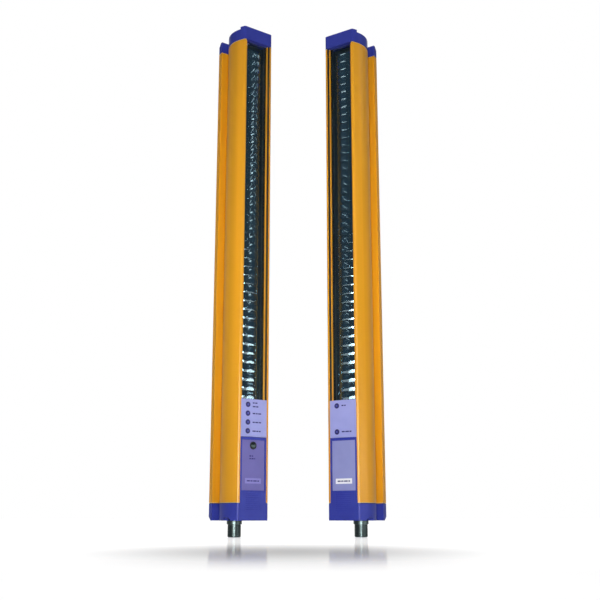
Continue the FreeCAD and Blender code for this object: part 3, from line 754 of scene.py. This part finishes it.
def node_box(bar: Bar, part: str) -> tuple[Vector, Vector]:
    """Lowest and highest corner of a node in its bar's own axes.

    Args:
        bar: The bar.
        part: The node's name without its bar.

    Returns:
        The two corners.
    """
    to_bar = STANDINGS[bar].to_row().inverted()
    points = [to_bar @ v.co for v in frame["nodes"][f"{bar.value}_{part}"].data.vertices]
    low = Vector(min(p[axis] for p in points) for axis in range(3))
    high = Vector(max(p[axis] for p in points) for axis in range(3))
    return low, high


def settle(piece: bpy.types.Object, slot: str, *replaced: str) -> None:
    """Let a piece ride on the object and hide the nodes it stands for.

    Args:
        piece: The new piece.
        slot: The record's material slot. Not used.
        replaced: Nodes that the piece stands for.
    """
    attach(piece, "root")
    if replaced:
        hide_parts(*replaced)
    log.info("made %s", piece.name)


@dataclass
class LensRow:
    """The three lens strips of a bar, as fine smooth domes that run into each other."""

    bar: Bar
    finish: bpy.types.Material
    sphere: float = 24.0 * MM
    aperture: float = 10.8 * MM
    pitch: float = 9.6 * MM
    plate_thickness: float = 1.6 * MM
    rows_per_lens: int = 16
    columns: int = 24
    sharp_deg: float = 14.0

    def dome_row(self, front: float, middle: float, z: float) -> list[Point]:
        """Points of one line across a dome.

        Args:
            front: Front face of the plate.
            middle: Height of the dome's middle.
            z: Height of the line.

        Returns:
            Points from one side of the dome to the other.
        """
        rise = z - middle
        reach = math.sqrt(self.aperture ** 2 - rise ** 2)
        foot = math.sqrt(self.sphere ** 2 - self.aperture ** 2)
        points = []
        for step in range(self.columns + 1):
            x = reach * math.sin(math.pi * (step / self.columns - 0.5))
            swell = math.sqrt(self.sphere ** 2 - x * x - rise * rise) - foot
            points.append((x, front - swell, z))
        return points

    def strip(self, name: str) -> bpy.types.Object:
        """Build one strip in the place of its node.

        Args:
            name: The node's name without its bar.

        Returns:
            The strip.
        """
        low, high = node_box(self.bar, name)
        front, back = high.y - self.plate_thickness, high.y
        half = high.x
        count = round((high.z - low.z) / self.pitch)
        edge = (count * self.pitch - (high.z - low.z)) / 2
        maker = MeshMaker(f"{self.bar.value}_{name}_domes", self.bar)
        lines = []
        for lens in range(count):
            base = low.z - edge + lens * self.pitch
            middle = base + self.pitch / 2
            for step in range(self.rows_per_lens + 1):
                z = base + self.pitch * step / self.rows_per_lens
                z = min(max(z, low.z), high.z)
                lines.append(self.dome_row(front, middle, z))
        ends = [[(-half, front, line[0][2]), line[0]] for line in lines]
        others = [[line[-1], (half, front, line[0][2])] for line in lines]
        lens_rows = self.rows_per_lens + 1
        for start in range(0, len(lines), lens_rows):
            for rows in (lines, ends, others):
                maker.grid(rows[start:start + lens_rows])
        for line in (lines[0], lines[-1]):
            z = line[0][2]
            rim = [(-half, front, z), *line, (half, front, z)]
            maker.grid([rim, [(point[0], back, z) for point in rim]])
        levels = [line[0][2] for line in lines]
        for side in (-half, half):
            maker.grid([[(side, y, z) for z in levels] for y in (front, back)])
        xs = [-half, *[point[0] for point in lines[0]], half]
        maker.grid([[(x, back, z) for x in xs] for z in (low.z, high.z)])
        return maker.finish([self.finish], sharp_deg=self.sharp_deg)

    def build(self) -> None:
        """Build all three strips."""
        for level in ("lower", "middle", "upper"):
            node = f"lens_strip_{level}"
            settle(self.strip(node), "clear_lens", f"{self.bar.value}_{node}")


@dataclass
class Indicators:
    """The round indicator lenses of a bar: a dark collar and a lighter core under a low dome."""

    bar: Bar
    outer: bpy.types.Material
    core: bpy.types.Material
    across: float = -7.4 * MM
    lowest: float = 107.1 * MM
    pitch: float = 9.1 * MM
    radius: float = 2.8 * MM
    core_radius: float = 1.15 * MM
    proud: float = 0.5 * MM
    rim: float = 0.8 * MM
    back: float = 5.95 * MM
    dome_fall: float = 0.8
    groove: float = 0.12 * MM
    dome_steps: int = 8
    segments: int = 32
    sharp_deg: float = 40.0

    def heights(self) -> list[float]:
        """Heights of the bar's indicators."""
        places = (0, 1, 2, 3) if self.bar is Bar.RECEIVER else (0, 3)
        return [self.lowest + self.pitch * place for place in places]

    def place(self, height: float, u: float, v: float, depth: float) -> Point:
        """A point of the bar from a point round the axis of the lens at a height."""
        return (self.across + u, depth, height + v)

    def build(self) -> None:
        """Build the lenses in the place of their node."""
        maker = MeshMaker(f"{self.bar.value}_indicator_domes", self.bar)
        dome = []
        for step in range(self.dome_steps + 1):
            share = step / self.dome_steps
            fall = self.proud * self.dome_fall * share ** 3
            dome.append((max(self.radius * share, PINHOLE), -self.proud + fall))
        core_rows = [row for row in dome if row[0] <= self.core_radius]
        core_rows.append((self.core_radius, core_rows[-1][1]))
        groove = (self.core_radius + self.groove, core_rows[-1][1] + self.groove)
        collar = [core_rows[-1], groove, *[row for row in dome if row[0] > groove[0]]]
        collar += [(self.radius, self.back), (self.radius + self.rim, self.back),
                   (self.radius + self.rim, self.back + self.rim)]
        for height in self.heights():
            place = partial(self.place, height)
            maker.revolve(core_rows, place, segments=self.segments, slot=1)
            maker.revolve(collar, place, segments=self.segments)
            for (radius, depth), slot in ((core_rows[0], 1), (collar[-1], 0)):
                maker.cap([place(u, v, depth) for u, v in around(radius, self.segments)], slot)
        piece = maker.finish([self.outer, self.core], sharp_deg=self.sharp_deg)
        settle(piece, "indicator_plastic", f"{self.bar.value}_indicator_lenses")


@dataclass(frozen=True)
class Legend:
    """A line of print beside the indicators, as the lengths in millimetres of plain dashes."""

    place: int
    lengths: tuple[float, ...]
    rise: float = 0.0


LEGENDS = {
    Bar.RECEIVER: (
        Legend(3, (2.2, 2.8), 1.9 * MM), Legend(3, (3.4, 2.8), -1.9 * MM), Legend(2, (3.2, 2.2, 3.6)),
        Legend(1, (2.6, 3.4, 3.0)), Legend(0, (4.0, 2.4, 2.2))),
    Bar.EMITTER: (Legend(3, (2.4, 2.0)), Legend(0, (3.6, 4.2, 2.4))),
}


@dataclass
class PrintedMarks:
    """Plain dashes beside the indicators and plain strips on the label, in place of lettering."""

    bar: Bar
    ink: bpy.types.Material
    film: bpy.types.Material
    dash_height: float = 1.25 * MM
    dash_gap: float = 0.7 * MM
    thickness: float = 0.03 * MM
    sunk: float = 0.05 * MM
    panel_face: float = 0.0
    label_face: float = 0.5 * MM
    legend_start: float = -1.6 * MM
    strip_half: float = 9.7 * MM
    strip_low: float = 53.8 * MM
    strip_high: float = 59.2 * MM
    strip_start: float = -7.4 * MM
    strip_lengths: tuple[float, ...] = (3.6, 2.6, 4.4, 2.1)
    small_start: float = -4.6 * MM
    small_lines: tuple[tuple[float, tuple[float, ...]], ...] = (
        (81.6 * MM, (2.2, 1.6)), (78.9 * MM, (1.8, 2.6, 1.2)))

    def dash_line(self, maker: MeshMaker, start: float, z: float, face: float,
                  lengths: Sequence[float]) -> None:
        """Add one line of dashes.

        Args:
            maker: The mesh to add to.
            start: Left end of the line in the bar's axes.
            z: Middle height.
            face: Depth of the surface that it lies on.
            lengths: Length of each dash in millimetres.
        """
        x = start
        for length in lengths:
            low = (x, face - self.thickness, z - self.dash_height / 2)
            high = (x + length * MM, face + self.sunk, z + self.dash_height / 2)
            maker.block(low, high)
            x += length * MM + self.dash_gap

    def build(self) -> None:
        """Build the marks and the strip of a bar."""
        marks = MeshMaker(f"{self.bar.value}_plain_marks", self.bar)
        for legend in LEGENDS[self.bar]:
            z = Indicators.lowest + legend.place * Indicators.pitch + legend.rise
            self.dash_line(marks, self.legend_start, z, self.panel_face, legend.lengths)
        middle = (self.strip_low + self.strip_high) / 2
        strip_face = self.label_face - self.thickness
        self.dash_line(marks, self.strip_start, middle, strip_face, self.strip_lengths)
        if self.bar is Bar.RECEIVER:
            for z, lengths in self.small_lines:
                self.dash_line(marks, self.small_start, z, self.label_face, lengths)
        settle(marks.finish([self.ink]), "indicator_plastic")
        strip = MeshMaker(f"{self.bar.value}_plain_strip", self.bar)
        strip.block((-self.strip_half, strip_face, self.strip_low),
                    (self.strip_half, self.label_face + self.sunk, self.strip_high))
        slot = "violet_label" if self.bar is Bar.RECEIVER else "lavender_label"
        settle(strip.finish([self.film]), slot)


@dataclass
class SealingScrew:
    """The slotted screw on the receiver's label, with a low domed head."""

    metal: bpy.types.Material
    height: float = 92.4 * MM
    radius: float = 3.2 * MM
    shank: float = 1.9 * MM
    seat: float = 0.5 * MM
    head: float = 1.6 * MM
    dome: float = 0.7 * MM
    slot_half: float = 0.4 * MM
    slot_depth: float = 0.75 * MM
    tip: float = 5.95 * MM
    columns: int = 32
    steps: int = 12
    sharp_deg: float = 35.0

    def face(self, x: float, z: float) -> float:
        """Depth of the domed face at a point of the head."""
        share = (x * x + z * z) / self.radius ** 2
        return self.seat - self.head + self.dome * share

    def line(self, z: float) -> list[Point]:
        """Points of one level line across the head.

        Args:
            z: Height above the screw's axis.

        Returns:
            Points from one side of the head to the other.
        """
        reach = math.sqrt(max(self.radius ** 2 - z * z, 0.0))
        xs = [reach * math.sin(math.pi * (index / self.columns - 0.5)) for index in range(self.columns + 1)]
        return [(x, self.face(x, z), self.height + z) for x in xs]

    def build(self) -> None:
        """Build the screw in the place of its node."""
        maker = MeshMaker("receiver_sealing_screw_domed", Bar.RECEIVER)
        floor = self.seat - self.head + self.slot_depth
        reach = self.radius - self.slot_half
        turns = [math.pi / 2 * step / self.steps for step in range(self.steps + 1)]
        for side in (1, -1):
            rows = [self.line(side * (self.slot_half + reach * math.sin(turn))) for turn in turns]
            maker.grid(rows)
            maker.grid([rows[0], [(x, floor, z) for x, _, z in rows[0]]])
            for end in (0, -1):
                rim = [row[end] for row in rows]
                maker.grid([rim, [(x, self.seat, z) for x, _, z in rim]])
        xs = [point[0] for point in self.line(self.slot_half)]
        levels = (self.height - self.slot_half, self.height + self.slot_half)
        maker.grid([[(x, floor, z) for x in xs] for z in levels])
        for x in (xs[0], xs[-1]):
            maker.grid([[(x, y, z) for z in levels] for y in (floor, self.seat)])
        shank = [(self.radius, self.seat), (self.shank, self.seat), (self.shank, self.tip),
                 (PINHOLE, self.tip)]
        maker.revolve(shank, lambda u, v, depth: (u, depth, self.height + v))
        piece = maker.finish([self.metal], sharp_deg=self.sharp_deg)
        settle(piece, "dark_chrome", "receiver_sealing_screw")


CONTACTS = {Bar.RECEIVER: 8, Bar.EMITTER: 4}


@dataclass
class Plug:
    """The round plug under a bar: a threaded barrel, its collar and hexagon, and round-tipped contacts."""

    bar: Bar
    metal: bpy.types.Material
    gold: bpy.types.Material
    back: float = 35.4 * MM
    radius: float = 7.1 * MM
    wall: float = 1.6 * MM
    chamfer: float = 0.9 * MM
    small_chamfer: float = 0.3 * MM
    neck_height: float = 0.9 * MM
    undercut: float = 0.35 * MM
    undercut_slope: float = 0.15 * MM
    collar_radius: float = 8.0 * MM
    collar_low: float = 13.0 * MM
    hexagon_radius: float = 9.0 * MM
    hexagon_low: float = 19.0 * MM
    hexagon_high: float = 21.4 * MM
    rear_radius: float = 5.6 * MM
    rear_high: float = 33.6 * MM
    step: float = 6.0 * MM
    thread_pitch: float = 1.0 * MM
    thread_depth: float = 0.26 * MM
    crest_share: float = 0.62
    rows_per_turn: int = 10
    segments: int = 72
    shell_sharp_deg: float = 25.0
    pin_radius: float = 0.5 * MM
    pin_circle: float = 2.75 * MM
    pin_low: float = 1.0 * MM
    pin_high: float = 41.6 * MM
    tip_steps: int = 5
    pin_segments: int = 16
    pin_sharp_deg: float = 40.0

    def place(self, u: float, v: float, z: float) -> Point:
        """A point of the bar from a point round the plug's axis."""
        return (u, self.back + v, z)

    def thread_radius(self, z: float, angle: float) -> float:
        """Radius of the threaded barrel: flat crests with a fine groove that winds up.

        Args:
            z: Height on the barrel.
            angle: Angle round its axis.

        Returns:
            The radius there.
        """
        turn = (z / self.thread_pitch - angle / (2 * math.pi)) % 1.0
        if turn < self.crest_share:
            return self.radius
        share = (turn - self.crest_share) / (1.0 - self.crest_share)
        return self.radius - self.thread_depth * (1.0 - abs(2.0 * share - 1.0))

    def shell(self) -> bpy.types.Object:
        """Build the metal shell.

        Returns:
            The shell.
        """
        maker = MeshMaker(f"{self.bar.value}_threaded_shell", self.bar)
        low, high = self.chamfer, self.collar_low - self.neck_height
        count = round((high - low) / (self.thread_pitch / self.rows_per_turn))
        angles = [2 * math.pi * index / self.segments for index in range(self.segments)]
        rows = []
        for index in range(count + 1):
            z = low + (high - low) * index / count
            ring = [self.thread_radius(z, a) for a in angles]
            rows.append([self.place(r * math.cos(a), r * math.sin(a), z) for r, a in zip(ring, angles)])
        maker.grid(rows, close=True)
        mouth = self.radius - self.chamfer
        for ring, radius, z in ((rows[0], mouth, 0.0), (rows[-1], self.radius, high)):
            target = [self.place(u, v, z) for u, v in around(radius, self.segments)]
            maker.grid([ring, target], close=True)
        inner, rear_inner = self.radius - self.wall, self.rear_radius - self.wall
        neck = self.radius - self.undercut
        outline = [
            (self.radius, high), (neck, high + self.undercut_slope), (neck, self.collar_low),
            (self.collar_radius - self.small_chamfer, self.collar_low),
            (self.collar_radius, self.collar_low + self.small_chamfer),
            (self.collar_radius, self.hexagon_high), (self.rear_radius, self.hexagon_high),
            (self.rear_radius, self.rear_high), (rear_inner, self.rear_high), (rear_inner, self.step),
            (inner, self.step), (inner, self.small_chamfer), (inner + self.small_chamfer, 0.0),
            (mouth, 0.0)]
        maker.revolve(outline, self.place, segments=self.segments)
        corners = around(self.hexagon_radius, 6)
        rings = [[self.place(u, v, z) for u, v in corners] for z in (self.hexagon_low, self.hexagon_high)]
        maker.grid(rings, close=True)
        for ring in rings:
            maker.cap(ring)
        return maker.finish([self.metal], sharp_deg=self.shell_sharp_deg)

    def pins(self) -> bpy.types.Object:
        """Build the contacts.

        Returns:
            The contacts.
        """
        maker = MeshMaker(f"{self.bar.value}_round_contacts", self.bar)
        hole = PINHOLE / 2
        turns = [math.pi / 2 * step / self.tip_steps for step in range(self.tip_steps + 1)]
        outline = [(self.pin_radius * math.sin(turn) + hole,
                    self.pin_low + self.pin_radius * (1 - math.cos(turn))) for turn in turns]
        outline += [(self.pin_radius, self.pin_high), (hole, self.pin_high)]
        count = CONTACTS[self.bar]
        for index in range(count):
            angle = 2 * math.pi * (index + 0.5) / count
            u, v = self.pin_circle * math.cos(angle), self.pin_circle * math.sin(angle)
            maker.revolve(outline, lambda a, b, z, u=u, v=v: self.place(u + a, v + b, z),
                          segments=self.pin_segments)
        return maker.finish([self.gold], sharp_deg=self.pin_sharp_deg)

    def build(self) -> None:
        """Build shell and contacts in the place of their nodes."""
        settle(self.shell(), "dark_chrome", f"{self.bar.value}_connector_shell")
        settle(self.pins(), "gold_contact", f"{self.bar.value}_connector_pins")


class LampShape(Enum):
    """Outline of a lamp's face."""

    SQUARE = "RECTANGLE"
    ROUND = "ELLIPSE"


@dataclass(frozen=True)
class Lamp:
    """A soft lamp, as bright along its axis as its radiance says.

    A lamp that is mirrored only stands for a white card: gloss shows it, and it lights nothing.
    """

    name: str
    place: Point
    aim: Point
    size: tuple[float, float]
    radiance: float
    shape: LampShape = LampShape.SQUARE
    slant_deg: float = 0.0
    spread_deg: float = 180.0
    mirrored_only: bool = False

    def build(self, left_out: bpy.types.Collection) -> None:
        """Hang the lamp and turn it to its aim.

        Args:
            left_out: What a card isn't mirrored in.
        """
        data = bpy.data.lights.new(self.name, "AREA")
        data.shape = self.shape.value
        data.size, data.size_y = self.size
        area = self.size[0] * self.size[1] * (math.pi / 4 if self.shape is LampShape.ROUND else 1.0)
        data.energy = self.radiance * math.pi * area
        if self.spread_deg < 180.0:
            half = math.radians(self.spread_deg / 2)
            data.spread = 2 * half
            data.energy *= 1.0 - half / math.tan(half)
        lamp = bpy.data.objects.new(self.name, data)
        lamp.location = self.place
        lamp.visible_camera = False
        if self.mirrored_only:
            lamp.visible_diffuse = False
            lamp.light_linking.receiver_collection = left_out
        way = Vector(self.aim) - Vector(self.place)
        slant = Matrix.Rotation(math.radians(self.slant_deg), 3, "Z")
        lamp.rotation_euler = (way.to_track_quat("-Z", "Y").to_matrix() @ slant).to_euler()
        bpy.context.scene.collection.objects.link(lamp)


def shown_white(tree: bpy.types.NodeTree) -> bpy.types.NodeSocket:
    """One for rays that show the surroundings: to the camera, in gloss and through glass.

    Args:
        tree: The node tree.

    Returns:
        The socket.
    """
    ray = add_node(tree, "ShaderNodeLightPath")
    total = ray.outputs["Is Camera Ray"]
    for name in ("Is Glossy Ray", "Is Transmission Ray"):
        total = work(tree, "MAXIMUM", total, ray.outputs[name])
    return total


@dataclass
class Studio:
    """Floor, light and camera."""

    camera_place: Point = (2.21 * MM, -965.88 * MM, 22.0 * MM)
    camera_rise_deg: float = 13.44
    lens_mm: float = 54.13
    near_clip: float = 0.01
    floor_radius: float = 6.0
    floor_segments: int = 96
    floor_tone: Colour = (0.84, 0.84, 0.845)
    floor_roughness: float = 0.9
    sheen_roughness: float = 0.08
    floor_gloss: float = 0.34
    gloss_ends: float = -0.60
    gloss_full: float = -0.44
    floor_lift: float = 0.58
    # A painted pool of shade on the floor before the pair: its middle, its reach and how much it dims the
    # floor's glow.
    painted_shade_middle: tuple[float, float] = (-0.006, -0.385)
    painted_shade_reach: tuple[float, float] = (0.185, 0.225)
    painted_shade_depth: float = 0.64
    soft_light: float = 0.29
    front_reflection: Colour = (0.050, 0.085, 0.115)
    mirror_dim: float = 0.5
    mirror_white: float = 0.85
    lamps: tuple[Lamp, ...] = (
        Lamp("front_low", (0.0, -1.25, 0.06), (0.0, 0.0, 0.20), (0.46, 0.40), 48.0, spread_deg=60.0),
        Lamp("front_card", (0.0, -1.25, 0.10), (0.0, 0.0, 0.01), (1.0, 0.20), 17.0, spread_deg=90.0,
             mirrored_only=True),
        Lamp("back_high", (0.0, 1.1, 1.5), (0.0, -0.1, 0.0), (1.6, 0.6), 2.0),
        Lamp("left_card", (-0.216, -0.535, 0.06), (0.047, -0.02, 0.06), (0.34, 0.26), 4.0,
             LampShape.ROUND, mirrored_only=True),
        Lamp("right_card", (0.416, -0.255, 0.06), (-0.046, -0.025, 0.06), (0.46, 0.26), 3.5,
             LampShape.ROUND, mirrored_only=True),
        Lamp("right_high_card", (0.72, -0.03, 0.86), (0.05, -0.02, 0.5), (0.22, 0.26), 1.2,
             mirrored_only=True),
        Lamp("right_slant_card", (0.395, -0.345, 0.72), (-0.046, -0.025, 0.42), (0.02, 0.36), 2.4,
             slant_deg=-38.0, mirrored_only=True),
        Lamp("left_slant_card", (-0.992, -0.62, 1.6), (0.047, -0.02, 0.45), (0.66, 0.12), 2.4,
             slant_deg=8.0, mirrored_only=True),
        Lamp("right_middle_card", (0.395, -0.345, 0.52), (-0.046, -0.025, 0.30), (0.05, 0.16), 3.2,
             slant_deg=-60.0, mirrored_only=True),
        Lamp("left_middle_card", (-0.364, -0.378, 0.46), (0.047, -0.02, 0.30), (0.02, 0.24), 2.2,
             slant_deg=60.0, mirrored_only=True),
    )

    def floor_finish(self) -> bpy.types.Material:
        """Build the floor's white, its faint gloss and a painted pool of shade before the pair.

        Returns:
            The floor's material.
        """
        shader = Shader("white_floor")
        place = shader.add("ShaderNodeTexCoord").outputs["Object"]
        split = shader.add("ShaderNodeSeparateXYZ", {0: place})
        gloss = shader.add(
            "ShaderNodeMapRange", {"Value": split.outputs["Y"]}, interpolation_type="SMOOTHSTEP",
            From_Min=self.gloss_ends, From_Max=self.gloss_full, To_Max=self.floor_gloss)
        matte = shader.add("ShaderNodeBsdfPrincipled", Roughness=self.floor_roughness,
                           Specular_IOR_Level=0.0, Base_Color=rgba(self.floor_tone))
        sheen = shader.add("ShaderNodeBsdfAnisotropic", Roughness=self.sheen_roughness, Color=rgba(WHITE))
        polished = shader.add("ShaderNodeMixShader", {
            "Fac": gloss.outputs["Result"], 1: matte.outputs[0], 2: sheen.outputs[0]})
        moved = shader.add("ShaderNodeVectorMath", {0: place}, operation="SUBTRACT")
        moved.inputs[1].default_value = (*self.painted_shade_middle, 0.0)
        scaled = shader.add("ShaderNodeVectorMath", {0: moved.outputs[0]}, operation="DIVIDE")
        scaled.inputs[1].default_value = (*self.painted_shade_reach, 1.0)
        reach = shader.add("ShaderNodeVectorMath", {0: scaled.outputs[0]}, operation="LENGTH")
        # The glow is dimmed in the painted pool of shade.
        lift = shader.add(
            "ShaderNodeMapRange", {"Value": reach.outputs["Value"]}, interpolation_type="SMOOTHSTEP",
            To_Min=self.floor_lift - self.painted_shade_depth, To_Max=self.floor_lift)
        shown = work(shader.tree, "MULTIPLY", lift.outputs["Result"], shown_white(shader.tree))
        glow = shader.add("ShaderNodeEmission", {"Strength": shown})
        return shader.surface(
            shader.add("ShaderNodeAddShader", {0: polished.outputs[0], 1: glow.outputs[0]}))

    def floor(self) -> bpy.types.Object:
        """Make a white floor that keeps the object's shadow and a faint reflection of it.

        Returns:
            The floor.
        """
        data = bpy.data.meshes.new("floor")
        plane = bmesh.new()
        bmesh.ops.create_circle(plane, cap_ends=True, segments=self.floor_segments,
                                radius=self.floor_radius)
        plane.to_mesh(data)
        plane.free()
        data.materials.append(self.floor_finish())
        floor = bpy.data.objects.new("floor", data)
        bpy.context.scene.collection.objects.link(floor)
        return floor

    def world(self) -> None:
        """A surround that lights softly. It is white to the camera.

        Gloss and glass show it white behind the pair, and dim in front of it, as a dark room
        would be behind the camera.
        """
        world = bpy.data.worlds.new("white_surround")
        bpy.context.scene.world = world
        world.use_nodes = True
        tree = world.node_tree
        tree.nodes.clear()
        ray = add_node(tree, "ShaderNodeLightPath")
        place = add_node(tree, "ShaderNodeTexCoord")
        split = add_node(tree, "ShaderNodeSeparateXYZ", {0: place.outputs["Generated"]})
        behind = add_node(
            tree, "ShaderNodeMapRange", {"Value": split.outputs["Y"]}, interpolation_type="SMOOTHSTEP",
            From_Min=self.mirror_dim, From_Max=self.mirror_white)
        mirrored = colour_mix(tree, behind.outputs["Result"], self.front_reflection, WHITE)
        reflected = colour_mix(tree, shown_white(tree), (self.soft_light,) * 3, mirrored)
        level = colour_mix(tree, ray.outputs["Is Camera Ray"], reflected, WHITE)
        light = add_node(tree, "ShaderNodeBackground", {"Color": level}, Strength=1.0)
        add_node(tree, "ShaderNodeOutputWorld", {"Surface": light.outputs[0]})

    def camera(self) -> None:
        """The camera stands low in front of the pair and looks a little up."""
        data = bpy.data.cameras.new("camera")
        data.lens = self.lens_mm
        data.clip_start = self.near_clip
        camera = bpy.data.objects.new("camera", data)
        camera.location = self.camera_place
        camera.rotation_euler = (math.radians(90.0 + self.camera_rise_deg), 0.0, 0.0)
        bpy.context.scene.collection.objects.link(camera)
        bpy.context.scene.camera = camera

    def build(self) -> None:
        """Set up everything round the object."""
        bpy.context.scene.view_settings.view_transform = "Standard"
        self.world()
        self.camera()
        left_out = bpy.data.collections.new("without_cards")
        left_out.objects.link(self.floor())
        left_out.collection_objects[0].light_linking.link_state = "EXCLUDE"
        for lamp in self.lamps:
            lamp.build(left_out)


def dress_nodes() -> dict[str, bpy.types.Material]:
    """Give every node the finish of its slot.

    Returns:
        The materials by slot.
    """
    materials = {slot: finish.make() for slot, finish in SLOT_FINISHES.items()}
    paints = {f"{bar.value}_housing": painted_housing(bar).make() for bar in Bar}
    slots = material_slots()
    for name, node in frame["nodes"].items():
        node.data.materials.clear()
        node.data.materials.append(paints.get(name) or materials[slots[name]])
    return materials


def main() -> None:
    """Dress the model, build the fine pieces and set up the studio."""
    materials = dress_nodes()
    ink = MARK_INK.make()
    core = INDICATOR_CORE.make()
    strips = {Bar.RECEIVER: PALE_FILM.make(), Bar.EMITTER: WHITE_FILM.make()}
    for bar in Bar:
        LensRow(bar, materials["clear_lens"]).build()
        Indicators(bar, materials["indicator_plastic"], core).build()
        PrintedMarks(bar, ink, strips[bar]).build()
        Plug(bar, materials["dark_chrome"], materials["gold_contact"]).build()
    SealingScrew(materials["dark_chrome"]).build()
    Studio().build()


if __name__ == "__main__":
    main()
